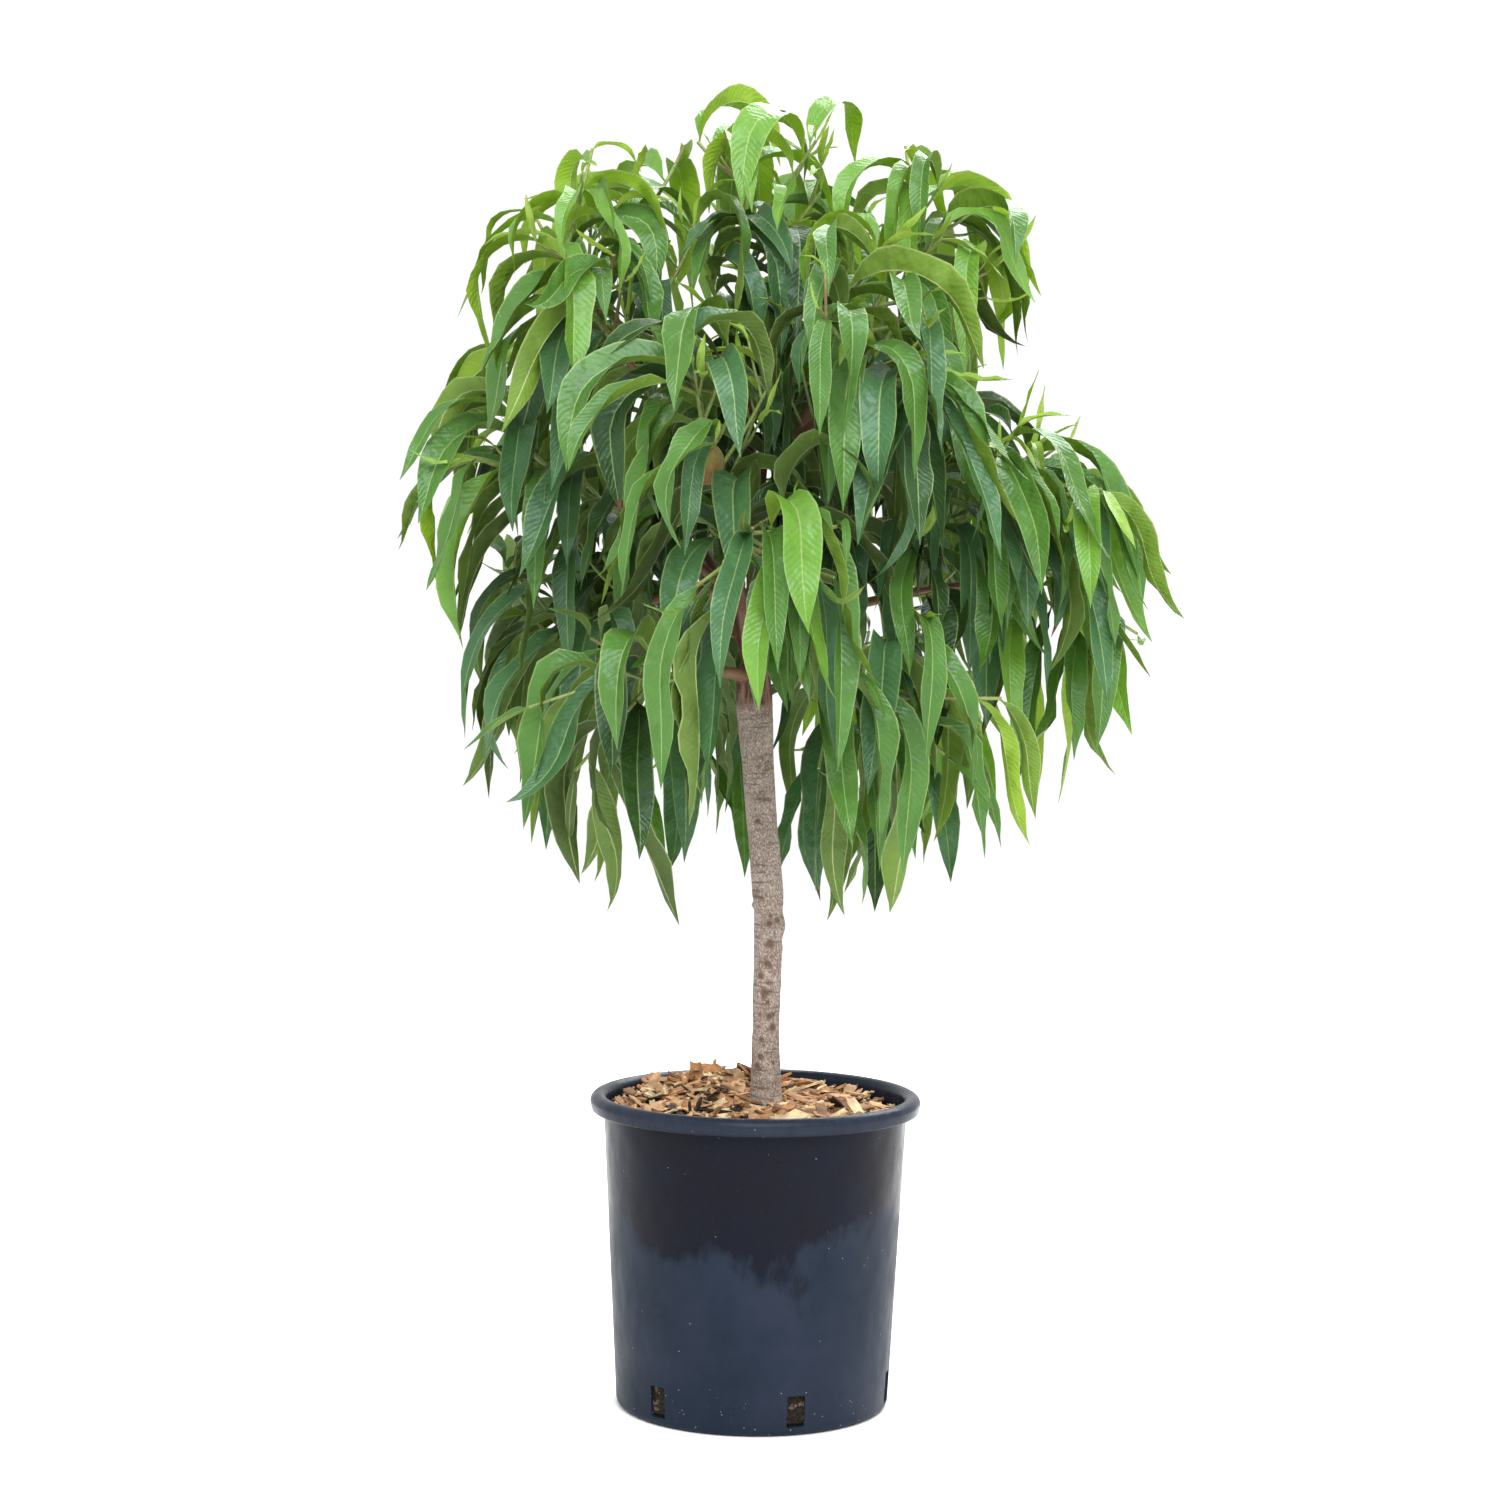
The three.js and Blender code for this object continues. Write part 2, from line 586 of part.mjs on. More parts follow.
/** Grows one mass: its twigs as lines, the stem first, and its leaves as rings of points, the stem's last. */
function growMass(mass, bough, limbs) {
  const random = randomStream(SEED + MASSES.indexOf(mass));
  const lines = growTwigs(mass, bough, limbs, random);
  const leaves = [];
  const blades = [];
  for (const line of lines.toReversed()) {
    const others = lines.filter((one) => one !== line);
    const otherTwigs = others.flatMap((one) => one.slice(1).map((p, i) => [one[i], p]));
    const count = Math.round((lengthOf(line) * (1 - LEAF.bare)) / LEAF.pitch);
    for (let i = 0; i <= count; i++) {
      const share = between(LEAF.bare, 1, (i / count) ** LEAF.crowd);
      const leaf = leafAt(line, share, mass.lift, i === count, random);
      const fullLength = leaf.length;
      const fits = (heading, size) => {
        leaf.length = fullLength * size;
        leaf.stalk = direction(leaf.way, leaf.splay, radians(GOLDEN * i + leaf.turn + heading));
        leaf.rings = leafRings(leaf);
        leaf.blade = bladeOf(leaf.rings);
        return (
          leaf.rings.flat().every((p) => inCrown(p) && inSpace(mass, p, SPACE.leafMargin)) &&
          samples(leaf.rings).every((p) => distanceToLimbs(limbs, p) > LEAF.clear) &&
          !pierces(otherTwigs, leaf.blade.faces) &&
          !blades.some((other) => crosses(leaf.blade, other))
        );
      };
      if (LEAF.sizes.some((size) => HEADINGS.some((heading) => fits(heading, size)))) {
        leaves.push(leaf.rings);
        blades.push(leaf.blade);
      }
    }
  }
  return { lines, leaves };
}

/** The mass as one solid: a three-sided stem and twigs with every leaf's root sunk into them. */
function massGeometry({ lines, leaves }) {
  const twigs = lines.map((points, i) => {
    const { rootRadius, tipRadius } = i === 0 ? STEM : TWIG;
    const radii = points.map((_, k) => between(rootRadius, tipRadius, k / (points.length - 1)));
    return solid(loft(limbRings({ points, radii }, TWIG.sides)));
  });
  return geometryOf(wasm.Manifold.union([...twigs, ...leaves.map((rings) => solid(loft(rings)))]));
}

// ---------------------------------------------------------------- the tree

const tree = new THREE.Group();
tree.add(piece("nursery_pot", pot(), FINISH.pot));
tree.add(piece("potting_mix", pottingMix(), FINISH.mix));
tree.add(piece("wood_chips", woodChips(), FINISH.chips));

const trunk = trunkLimb();
tree.add(piece("trunk", loft(trunkRings(trunk)), FINISH.trunk));

const limbs = new Map([["trunk", trunk]]);
let wood = solid(loft(trunkRings(trunk, GAP)));
for (const mass of MASSES) {
  const bough = boughLimb(mass, limbs.get(mass.from));
  const shape = solid(loft(limbRings(bough, BOUGH.sides))).subtract(wood);
  tree.add(piece(`bough_${mass.name}`, geometryOf(shape), FINISH.bough));
  wood = wood.add(solid(loft(limbRings(bough, BOUGH.sides, GAP))));
  limbs.set(mass.name, bough);
}

MASSES.forEach((mass, i) => {
  const grown = growMass(mass, limbs.get(mass.name), [...limbs.values()]);
  const finish = FINISH.foliage[i % FINISH.foliage.length];
  tree.add(piece(`foliage_${mass.name}`, massGeometry(grown), finish));
});

export default tree;
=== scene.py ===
import itertools
import math

import bmesh
import bpy
import numpy as np
from mathutils import Matrix, Vector, noise


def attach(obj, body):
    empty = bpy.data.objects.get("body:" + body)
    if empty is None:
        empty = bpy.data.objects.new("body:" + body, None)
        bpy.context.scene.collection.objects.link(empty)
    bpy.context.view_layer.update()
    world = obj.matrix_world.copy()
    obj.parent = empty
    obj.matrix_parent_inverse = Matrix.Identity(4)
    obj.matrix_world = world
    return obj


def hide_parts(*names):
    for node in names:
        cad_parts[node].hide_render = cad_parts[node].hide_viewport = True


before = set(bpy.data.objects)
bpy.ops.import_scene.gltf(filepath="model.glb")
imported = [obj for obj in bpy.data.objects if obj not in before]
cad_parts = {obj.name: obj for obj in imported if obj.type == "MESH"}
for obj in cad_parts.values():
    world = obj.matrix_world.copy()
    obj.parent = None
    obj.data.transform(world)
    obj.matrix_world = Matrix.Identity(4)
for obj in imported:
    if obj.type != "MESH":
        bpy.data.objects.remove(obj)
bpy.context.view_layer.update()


# ---------------------------------------------------------------- Nursery pot
# One injection moulding in black polypropylene: a tapering wall on a flat base, its rim rolled over in a
# half round, and six drain slots punched through the foot of the wall. Dried dust leaves the lower half a
# dull slate blue, while the upper half, where water has run down, stays dark and shiny.
POT_HEIGHT = 0.312
RIM_RADIUS = 0.165
RIM_DEPTH = 0.017
LIP_RADIUS = 0.0085
WALL_TOP_RADIUS = 0.151
WALL_FOOT_RADIUS = 0.136
WALL_THICKNESS = 0.003
FLOOR_THICKNESS = 0.004
FOOT_ROUNDING = 0.008
SLOT_COUNT = 6
SLOT_TURN = math.radians(18)
SLOT_WIDTH = 0.018
SLOT_LOW = 0.009
SLOT_HIGH = 0.040
SLOT_ROUNDING = 0.0015
POT_SIDES = 144
POT_WELD = 1e-6
RIM_CORNER = 0.002
RIM_EDGE_IN = 0.0035
PUNCH_DEPTH = 0.03
POT_CREASE = math.radians(40)


def add(tree, kind, inputs=(), **settings):
    """Adds a shader node. Each input is given a value, or the socket that feeds it."""
    node = tree.nodes.new("ShaderNode" + kind)
    for name, value in settings.items():
        setattr(node, name, value)
    for name, value in dict(inputs).items():
        if isinstance(value, bpy.types.NodeSocket):
            tree.links.new(value, node.inputs[name])
        else:
            node.inputs[name].default_value = value
    return node


def mixed(tree, share, low, high):
    """A colour between two colours."""
    node = add(tree, "Mix", {0: share}, data_type="RGBA")
    for socket, colour in ((node.inputs[6], low), (node.inputs[7], high)):
        if isinstance(colour, bpy.types.NodeSocket):
            tree.links.new(colour, socket)
        else:
            socket.default_value = (*colour, 1)
    return node.outputs[2]


def ranged(tree, value, low, high, to_low=0.0, to_high=1.0):
    """A value moved from one range to another, and kept inside it."""
    return add(tree, "MapRange", {0: value, 1: low, 2: high, 3: to_low, 4: to_high}).outputs[0]


def sums(tree, operation, first, second):
    """One step of arithmetic."""
    return add(tree, "Math", {0: first, 1: second}, operation=operation).outputs[0]


def texture(tree, kind, place, scale, **inputs):
    """A procedural texture at a place."""
    names = {name.replace("_", " ").title(): value for name, value in inputs.items()}
    return add(tree, "Tex" + kind, {"Vector": place, "Scale": scale, **names})


def stretched(tree, place, *scale):
    """A place with each of its axes scaled."""
    return add(tree, "Mapping", {"Vector": place, "Scale": scale}).outputs[0]


def finish_of(name, roughness=0.5, specular=0.5):
    """A material with a Principled shader, its tree, that shader and the piece's own coordinates."""
    material = bpy.data.materials.new(name)
    material.use_nodes = True
    tree = material.node_tree
    shader = tree.nodes["Principled BSDF"]
    shader.inputs["Roughness"].default_value = roughness
    shader.inputs["Specular IOR Level"].default_value = specular
    place = tree.nodes.new("ShaderNodeTexCoord").outputs["Object"]
    return material, tree, shader, place


def noisy(tree, place, scale, detail, roughness=0.5):
    """A value that wanders from place to place."""
    return texture(tree, "Noise", place, scale, detail=detail, roughness=roughness).outputs[0]


def plus(tree, value, more, share):
    """A value with a share of another added."""
    return sums(tree, "ADD", value, sums(tree, "MULTIPLY", more, share))


def coloured(tree, shader, colour):
    """Gives a shader its colour."""
    tree.links.new(colour, shader.inputs["Base Color"])


def bumped(tree, shader, height, strength, distance):
    """Relief from a height value."""
    bump = add(tree, "Bump", {"Height": height, "Strength": strength, "Distance": distance})
    tree.links.new(bump.outputs[0], shader.inputs["Normal"])


def placed(name, mesh, *materials):
    """A finished piece, at the origin, with its materials."""
    made = bpy.data.objects.new(name, mesh)
    bpy.context.scene.collection.objects.link(made)
    for material in materials:
        mesh.materials.append(material)
    return made


def mesh_of(bm, name):
    """The mesh of what has been modelled."""
    mesh = bpy.data.meshes.new(name)
    bm.to_mesh(mesh)
    bm.free()
    return mesh


def evaluated(made):
    """The mesh of an object with its modifiers applied, or of a curve."""
    graph = bpy.context.evaluated_depsgraph_get()
    mesh = bpy.data.meshes.new_from_object(made.evaluated_get(graph))
    bpy.data.objects.remove(made)
    return mesh


def half_round(middle, height, radius, start, end, flats):
    """Points of an arc, as radius and height."""
    turns = np.radians(np.linspace(start, end, flats + 1))
    return [(middle + radius * math.cos(t), height + radius * math.sin(t)) for t in turns]


lip_middle = RIM_RADIUS - LIP_RADIUS
rim_edge = POT_HEIGHT - RIM_DEPTH
inner_foot = WALL_FOOT_RADIUS - WALL_THICKNESS
pot_outline = [
    (0, 0),
    *half_round(WALL_FOOT_RADIUS - FOOT_ROUNDING, FOOT_ROUNDING, FOOT_ROUNDING, -90, 0, 8),
    (WALL_TOP_RADIUS, rim_edge - RIM_CORNER),
    *half_round(WALL_TOP_RADIUS + RIM_CORNER, rim_edge - RIM_CORNER, RIM_CORNER, 180, 90, 4),
    *half_round(RIM_RADIUS - RIM_EDGE_IN, rim_edge + RIM_CORNER, RIM_CORNER, -90, 0, 4),
    *half_round(lip_middle, POT_HEIGHT - LIP_RADIUS, LIP_RADIUS, 0, 180, 16),
    (WALL_TOP_RADIUS - WALL_THICKNESS, rim_edge),
    (inner_foot, FLOOR_THICKNESS + FOOT_ROUNDING),
    (inner_foot - FOOT_ROUNDING, FLOOR_THICKNESS),
    (0, FLOOR_THICKNESS),
]
bm = bmesh.new()
corners = [bm.verts.new((radius, 0, height)) for radius, height in pot_outline]
line = [bm.edges.new(pair) for pair in itertools.pairwise(corners)]
bmesh.ops.spin(bm, geom=corners + line, axis=(0, 0, 1), cent=(0, 0, 0), steps=POT_SIDES, angle=math.tau,
               use_merge=True)
bmesh.ops.remove_doubles(bm, verts=bm.verts, dist=POT_WELD)
bmesh.ops.recalc_face_normals(bm, faces=bm.faces)
shell = mesh_of(bm, "nursery_pot_shell")

bm = bmesh.new()
for i in range(SLOT_COUNT):
    size = Matrix.Diagonal((SLOT_WIDTH, PUNCH_DEPTH, SLOT_HIGH - SLOT_LOW, 1))
    out = Matrix.Translation((0, -WALL_FOOT_RADIUS, (SLOT_LOW + SLOT_HIGH) / 2))
    turn = Matrix.Rotation(SLOT_TURN + i * math.tau / SLOT_COUNT, 4, "Z")
    bmesh.ops.create_cube(bm, size=1, matrix=turn @ out @ size)
outward = [e for e in bm.edges if abs(e.verts[0].co.xy.length - e.verts[1].co.xy.length) > PUNCH_DEPTH / 2]
bmesh.ops.bevel(bm, geom=outward, offset=SLOT_ROUNDING, segments=3, affect="EDGES", profile=0.5, material=-1)
punch = mesh_of(bm, "slot_punch")

blank = placed("nursery_pot_blank", shell)
tool = placed("slot_tool", punch)
cut = blank.modifiers.new("slots", "BOOLEAN")
cut.operation = "DIFFERENCE"
cut.solver = "EXACT"
cut.object = tool
pot_mesh = evaluated(blank)
bpy.data.objects.remove(tool)
pot_mesh.shade_smooth()
pot_mesh.set_sharp_from_angle(angle=POT_CREASE)

pot_plastic, tree, shader, place = finish_of("pot_plastic", specular=0.08)
height = add(tree, "SeparateXYZ", {0: place}).outputs["Z"]
drips = noisy(tree, stretched(tree, place, 1, 1, 0.3), 42, 4, 0.6)
splashes = noisy(tree, place, 9, 3, 0.55)
edge = plus(tree, plus(tree, height, splashes, 0.24), drips, 0.07)
smears = noisy(tree, stretched(tree, place, 1, 1, 0.45), 75, 5, 0.65)
dust = ranged(tree, plus(tree, edge, smears, 0.07), 0.384, 0.356)
scuffs = noisy(tree, stretched(tree, place, 1, 1, 3), 160, 4)
scuffed = ranged(tree, scuffs, 0.62, 0.75, 0, 0.35)
cloudy = ranged(tree, noisy(tree, place, 11, 5, 0.6), 0.38, 0.62)
slate = mixed(tree, cloudy, (0.0095, 0.0165, 0.029), (0.0165, 0.023, 0.040))
slate = mixed(tree, scuffed, slate, (0.026, 0.037, 0.058))
black = mixed(tree, cloudy, (0.0062, 0.0062, 0.0105), (0.0050, 0.0070, 0.0150))
black = mixed(tree, scuffed, black, (0.014, 0.017, 0.030))
skin = mixed(tree, dust, black, slate)
# The rolled rim is painted a lighter, mottled slate: dust, and painted sheen along the rim.
on_rim = ranged(tree, height, rim_edge - 0.003, rim_edge + 0.003)
skin = mixed(tree, on_rim, skin, mixed(tree, smears, (0.010, 0.014, 0.024), (0.024, 0.031, 0.048)))
specks = texture(tree, "Voronoi", place, 75).outputs["Distance"]
splashed = texture(tree, "Voronoi", place, 150).outputs["Distance"]
low_down = ranged(tree, height, 0.06, 0.004, 0.0, 0.09)
few = sums(tree, "LESS_THAN", specks, 0.035)
speckled = sums(tree, "MAXIMUM", few, sums(tree, "LESS_THAN", splashed, low_down))
coloured(tree, shader, mixed(tree, speckled, skin, (0.3, 0.3, 0.29)))
dull = ranged(tree, dust, 0, 1, 0.20, 0.36)
dull = sums(tree, "ADD", dull, ranged(tree, smears, 0.3, 0.7, 0, 0.16))
tree.links.new(dull, shader.inputs["Roughness"])
dents = noisy(tree, place, 14, 2)
bumped(tree, shader, plus(tree, dents, smears, 0.08), 0.5, 0.006)

nursery_pot = placed("nursery_pot_moulding", pot_mesh, pot_plastic)
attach(nursery_pot, "root")
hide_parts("nursery_pot")


# ---------------------------------------------------------------- Potting mix
# Damp composted bark, filled in by hand and pressed down. It shows only in the drain slots and in the dark
# gaps between the wood chips, and its colour is painted nearly black: painted shade inside the slots and
# between the chips.
potting_mix, tree, shader, place = finish_of("potting_mix", roughness=0.9, specular=0.3)
crumbs = texture(tree, "Voronoi", place, 260).outputs
fibres = noisy(tree, place, 700, 3)
# Painted shade: the mix is coloured far darker than bark, for the shade in the slots and between the chips.
earth_with_painted_shade = mixed(tree, ranged(tree, fibres, 0.35, 0.65), (0.006, 0.0045, 0.003), (0.028, 0.018, 0.011))
pale = sums(tree, "GREATER_THAN", add(tree, "SeparateColor", {0: crumbs["Color"]}).outputs[0], 0.86)
coloured(tree, shader, mixed(tree, pale, earth_with_painted_shade, (0.13, 0.085, 0.048)))
bumped(tree, shader, crumbs["Distance"], 1.0, 0.006)
mix_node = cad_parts["potting_mix"]
mix_node.data.materials.clear()
mix_node.data.materials.append(potting_mix)


# ---------------------------------------------------------------- Wood chips
# A mulch of shredded wood, spread by hand over the potting mix. The chips are flat splinters of all sizes
# that lie across each other, with crumbs and dark bits of bark between them, heaped at the back left.
CHIP_SEED = 5
CHIP_COUNT = 1050
CRUMB_COUNT = 900
CHIP_KINDS, CRUMB_KINDS = 9, 5
CHIP_LENGTH = (0.010, 0.042)
CHIP_SKEW = 2.2
CHIP_WIDTH = (0.16, 0.5)
CHIP_THICKNESS = (0.0012, 0.0032)
CHIP_BEND, CHIP_WARP = 0.8, 0.18
TORN_END, NARROWED_END, UNEVEN_SIDE = (-0.22, 0.12), (0.55, 1.1), (0.85, 1.1)
CRUMB_SIZE = (0.0015, 0.0055)
CRUMB_SIDES, CRUMB_CORNERS = (0.5, 1.3), (0.6, 1.25)
CRUMB_LAYERS = (0.1, 0.9)
STEEP_SHARE = 0.06
LYING, STEEP, LEANING = (math.radians(angle) for angle in (13, 48, 16))
CHIP_REACH = 0.1445
CHIP_LEVEL = 0.3005
CHIP_LOWEST = 0.2875
CHIP_DEPTH = 0.010
HEAP = (-0.045, 0.105, 0.105)
HEAP_HEIGHT = 0.015
SUNK = (0.09, 0.02, 0.06)
SUNK_DEPTH = 0.003
CHIP_RISE = 0.25
CHIP_OVERHANG = 0.3
DARKER_LOW_LAYER, DARKER_LOW_SHARE, DARKER_LOW_STEP = 0.35, 0.5, 2
GRAIN_LENGTHS, GRAIN_SHIFT = 40, 50
TRUNK_CLEAR = 0.014
TRUNK_FOOT = (0.011, 0)
CHIP_SHADES = {
    "chip_straw": (0.72, 0.52, 0.30),
    "chip_tan": (0.57, 0.34, 0.17),
    "chip_orange": (0.47, 0.23, 0.095),
    "chip_brown": (0.22, 0.11, 0.055),
    "chip_dark": (0.035, 0.022, 0.015),
}
CHIP_SHARES = (0.25, 0.33, 0.22, 0.14, 0.06)


def splinters(rng, count):
    """Blank chips as unit boxes, split along their length and torn out of true."""
    blanks = []
    for _ in range(count):
        bm = bmesh.new()
        bmesh.ops.create_cube(bm, size=1, calc_uvs=True)
        long = [e for e in bm.edges if abs(e.verts[0].co.x - e.verts[1].co.x) > 0.5]
        bmesh.ops.subdivide_edges(bm, edges=long, cuts=3, use_grid_fill=True)
        across = [e for e in bm.edges if abs(e.verts[0].co.y - e.verts[1].co.y) > 0.5]
        bmesh.ops.subdivide_edges(bm, edges=across, cuts=1, use_grid_fill=True)
        bend = rng.uniform(-CHIP_BEND, CHIP_BEND)
        for v in bm.verts:
            is_end = abs(v.co.x) > 0.45
            v.co.x *= 1 + rng.uniform(*TORN_END) * is_end
            v.co.y *= rng.uniform(*(NARROWED_END if is_end else UNEVEN_SIDE))
            v.co.z += bend * (v.co.x**2 - 0.1) * 2 + rng.uniform(-CHIP_WARP, CHIP_WARP)
        blanks.append(bm)
    return blanks


def crumb_shapes(rng, count):
    """Blank crumbs as lumps of a few faces."""
    blanks = []
    for _ in range(count):
        bm = bmesh.new()
        bmesh.ops.create_icosphere(bm, subdivisions=1, radius=0.5, calc_uvs=True)
        for v in bm.verts:
            v.co *= rng.uniform(*CRUMB_CORNERS)
        blanks.append(bm)
    return blanks


def blank_arrays(bm):
    """A blank's points, and its faces of three points."""
    bmesh.ops.triangulate(bm, faces=bm.faces)
    bm.verts.ensure_lookup_table()
    points = np.array([v.co for v in bm.verts])
    faces = [[v.index for v in f.verts] for f in bm.faces]
    bm.free()
    return points, faces


def values_of(items, key, width, kind):
    """What the points, edges or corners of a mesh say, as a row for each."""
    values = np.empty(len(items) * width, kind)
    items.foreach_get(key, values)
    return values.reshape(-1, width)


def joined(name, layer, parts):
    """One mesh of many parts, each given as points, faces, places for a named layer, and material numbers."""
    starts = np.cumsum([0] + [len(part[0]) for part in parts[:-1]]).tolist()
    points = np.concatenate([part[0] for part in parts])
    faces = [[v + start for v in face] for part, start in zip(parts, starts) for face in part[1]]
    places = np.concatenate([part[2] for part in parts])
    shades = np.concatenate([np.full(len(part[1]), part[3]) for part in parts])
    mesh = bpy.data.meshes.new(name)
    mesh.from_pydata(points, [], faces)
    mesh.polygons.foreach_set("material_index", shades.astype(np.int32))
    corners = values_of(mesh.loops, "vertex_index", 1, np.int32)[:, 0]
    mesh.uv_layers.new(name=layer).data.foreach_set("uv", places[corners].astype(np.float32).ravel())
    mesh.update()
    return mesh


def chip_level(x, y):
    """The height of the mulch: nearly level, heaped towards the back left and sunk round the front."""
    heap, side = (math.exp(-((x - mx) ** 2 + (y - my) ** 2) / wide**2) for mx, my, wide in (HEAP, SUNK))
    return CHIP_LEVEL + HEAP_HEIGHT * heap - SUNK_DEPTH * side


rng = np.random.default_rng(CHIP_SEED)
kinds = [blank_arrays(bm) for bm in splinters(rng, CHIP_KINDS)]
lumps = [blank_arrays(bm) for bm in crumb_shapes(rng, CRUMB_KINDS)]
parts = []
for i in range(CHIP_COUNT + CRUMB_COUNT):
    is_chip = i < CHIP_COUNT
    points, faces = (kinds if is_chip else lumps)[rng.integers(CHIP_KINDS if is_chip else CRUMB_KINDS)]
    long = CHIP_LENGTH[0] + (CHIP_LENGTH[1] - CHIP_LENGTH[0]) * rng.random() ** CHIP_SKEW
    size = (long, long * rng.uniform(*CHIP_WIDTH), rng.uniform(*CHIP_THICKNESS))
    if not is_chip:
        size = rng.uniform(*CRUMB_SIZE) * rng.uniform(*CRUMB_SIDES, 3)
    reach = CHIP_REACH - size[0] / 2
    away = reach * math.sqrt(rng.random())
    round_turn = rng.uniform(0, math.tau)
    x, y = away * math.cos(round_turn), away * math.sin(round_turn)
    if math.dist((x, y), TRUNK_FOOT) < TRUNK_CLEAR + size[0] * CHIP_OVERHANG:
        continue
    tip = rng.normal(0, STEEP if rng.random() < STEEP_SHARE else LYING)
    lean = rng.normal(0, LEANING)
    layer = rng.random() if is_chip else rng.uniform(*CRUMB_LAYERS)
    z = chip_level(x, y) - CHIP_DEPTH * (1 - layer) + CHIP_RISE * size[0] * abs(math.sin(tip))
    turn = Matrix.Rotation(rng.uniform(0, math.tau), 3, "Z") @ Matrix.Rotation(tip, 3, "Y")
    turn = turn @ Matrix.Rotation(lean, 3, "X")
    laid = (points * size) @ np.array(turn).T + (x, y, z)
    laid[:, 2] = np.maximum(laid[:, 2], CHIP_LOWEST)
    over = np.maximum(np.hypot(laid[:, 0], laid[:, 1]) / CHIP_REACH, 1)
    laid[:, :2] /= over[:, None]
    shade = rng.choice(len(CHIP_SHADES), p=CHIP_SHARES)
    # Some of the chips low in the mulch, under the others, are given a darker shade.
    if layer < DARKER_LOW_LAYER and rng.random() < DARKER_LOW_SHARE:
        shade = min(shade + DARKER_LOW_STEP, len(CHIP_SHADES) - 1)
    places = points[:, :2] * size[0] * GRAIN_LENGTHS + rng.uniform(0, GRAIN_SHIFT, 2)
    parts.append((laid, faces, places, shade))

chip_finishes = []
for name, colour in CHIP_SHADES.items():
    wood, tree, shader, place = finish_of(name, roughness=0.75, specular=0.3)
    grain_place = add(tree, "UVMap", uv_map="grain").outputs[0]
    grain = noisy(tree, stretched(tree, grain_place, 1, 9, 1), 3, 3)
    patches = noisy(tree, place, 70, 2)
    light = tuple(min(c * 1.35, 0.9) for c in colour)
    dark = tuple(c * 0.55 for c in colour)
    body = mixed(tree, ranged(tree, patches, 0.35, 0.65), dark, light)
    streaked = mixed(tree, ranged(tree, grain, 0.42, 0.62, 0, 0.6), body, tuple(c * 0.5 for c in colour))
    coloured(tree, shader, streaked)
    bumped(tree, shader, grain, 0.5, 0.0006)
    chip_finishes.append(wood)
wood_chips = placed("wood_chip_mulch", joined("wood_chip_mulch", "grain", parts), *chip_finishes)
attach(wood_chips, "root")
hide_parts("wood_chips")


# ---------------------------------------------------------------- Trunk
# The clear stem of the rootstock, which leans a little and swells at the graft near its top, where the bark
# turns from grey-brown to red-brown. The grey bark is finely flecked and carries the scars of old buds.
TRUNK_RADIUS = 0.0146
TRUNK_LINE = np.array([
    (0.011, 0, 0.2863),
    (0.0095, 0, 0.375),
    (0.0105, 0, 0.500),
    (0.001, 0, 0.606),
    (-0.0065, 0, 0.712),
    (-0.008, 0, 0.748),
])
TRUNK_THICKNESS = (
    # share of the length, thickness in clear stems: root flare, stem, swelling under the graft, round head
    (0, 1.26), (0.07, 1.05), (0.2, 0.92), (0.33, 0.97), (0.43, 1.06), (0.55, 1.02), (0.67, 1.1), (0.77, 1.26),
    (0.93, 1.1), (1, 0.5),
)
TRUNK_SIDES = 72
TRUNK_RINGS = 240
TRUNK_COARSE = 20
GRAFT_HEIGHT = 0.700
SCAR_SPREAD = 1.3
SMALL_SCARS = 26
SCARRED_PART = (0.335, 0.510)
SMALL_SCAR_SIZE = (0.0010, 0.0024)
SMALL_SCAR_TURN = 34
SMALL_SCAR_DEPTH = 0.0004
DARK_WITHIN = 60
SCAR_SEED = 8
SCAR_LIP = 0.4
RIDGE_HEIGHT, GRAIN_HEIGHT, LUMP_HEIGHT = 0.00028, 0.00022, 0.0006
RIDGES, GRAIN, LUMPS = (170, 170, 75), (620, 620, 420), (45, 45, 38)
BUD_SCARS = (
    # height, turn in degrees from the front towards the right, width, depth
    (0.463, 5, 0.0042, -0.0008),
    (0.483, 3, 0.0030, 0.0006),
    (0.486, 36, 0.0030, 0.0006),
    (0.443, -3, 0.0034, 0.0005),
    (0.431, -28, 0.0034, 0.0005),
    (0.414, -8, 0.0045, 0.0006),
    (0.390, 12, 0.0030, 0.0006),
    (0.379, 30, 0.0042, -0.0005),
    (0.350, -22, 0.0032, 0.0006),
    (0.340, -38, 0.0034, -0.0006),
    (0.500, -80, 0.0040, 0.0020),
    (0.480, 85, 0.0110, 0.0022),
    (0.705, 22, 0.0040, -0.0015),
    (0.560, 150, 0.0040, 0.0008),
    (0.620, -140, 0.0040, 0.0008),
    (0.420, 160, 0.0040, -0.0006),
    (0.650, 60, 0.0035, 0.0007),
    (0.585, -15, 0.0028, 0.0006),
)


def trunk_point(share):
    """A point on the smooth line through the trunk's marks, which takes long and short stretches alike."""
    last = len(TRUNK_LINE) - 1
    i = min(int(share * last), last - 1)
    ends = 2 * TRUNK_LINE[[0, -1]] - TRUNK_LINE[[1, -2]]
    marks = np.vstack([ends[0], TRUNK_LINE, ends[1]])[i:i + 4]
    a, b, c = np.linalg.norm(np.diff(marks, axis=0), axis=1) ** 0.5
    p0, p1, p2, p3 = marks
    leave = ((p1 - p0) / a - (p2 - p0) / (a + b) + (p2 - p1) / b) * b
    arrive = ((p2 - p1) / b - (p3 - p1) / (b + c) + (p3 - p2) / c) * b
    t = share * last - i
    cubic = 2 * (p1 - p2) + leave + arrive
    square = 3 * (p2 - p1) - 2 * leave - arrive
    return p1 + t * (leave + t * (square + t * cubic))


def trunk_radius(share):
    """The trunk's radius at a share of its length."""
    return TRUNK_RADIUS * np.interp(share, *zip(*TRUNK_THICKNESS))


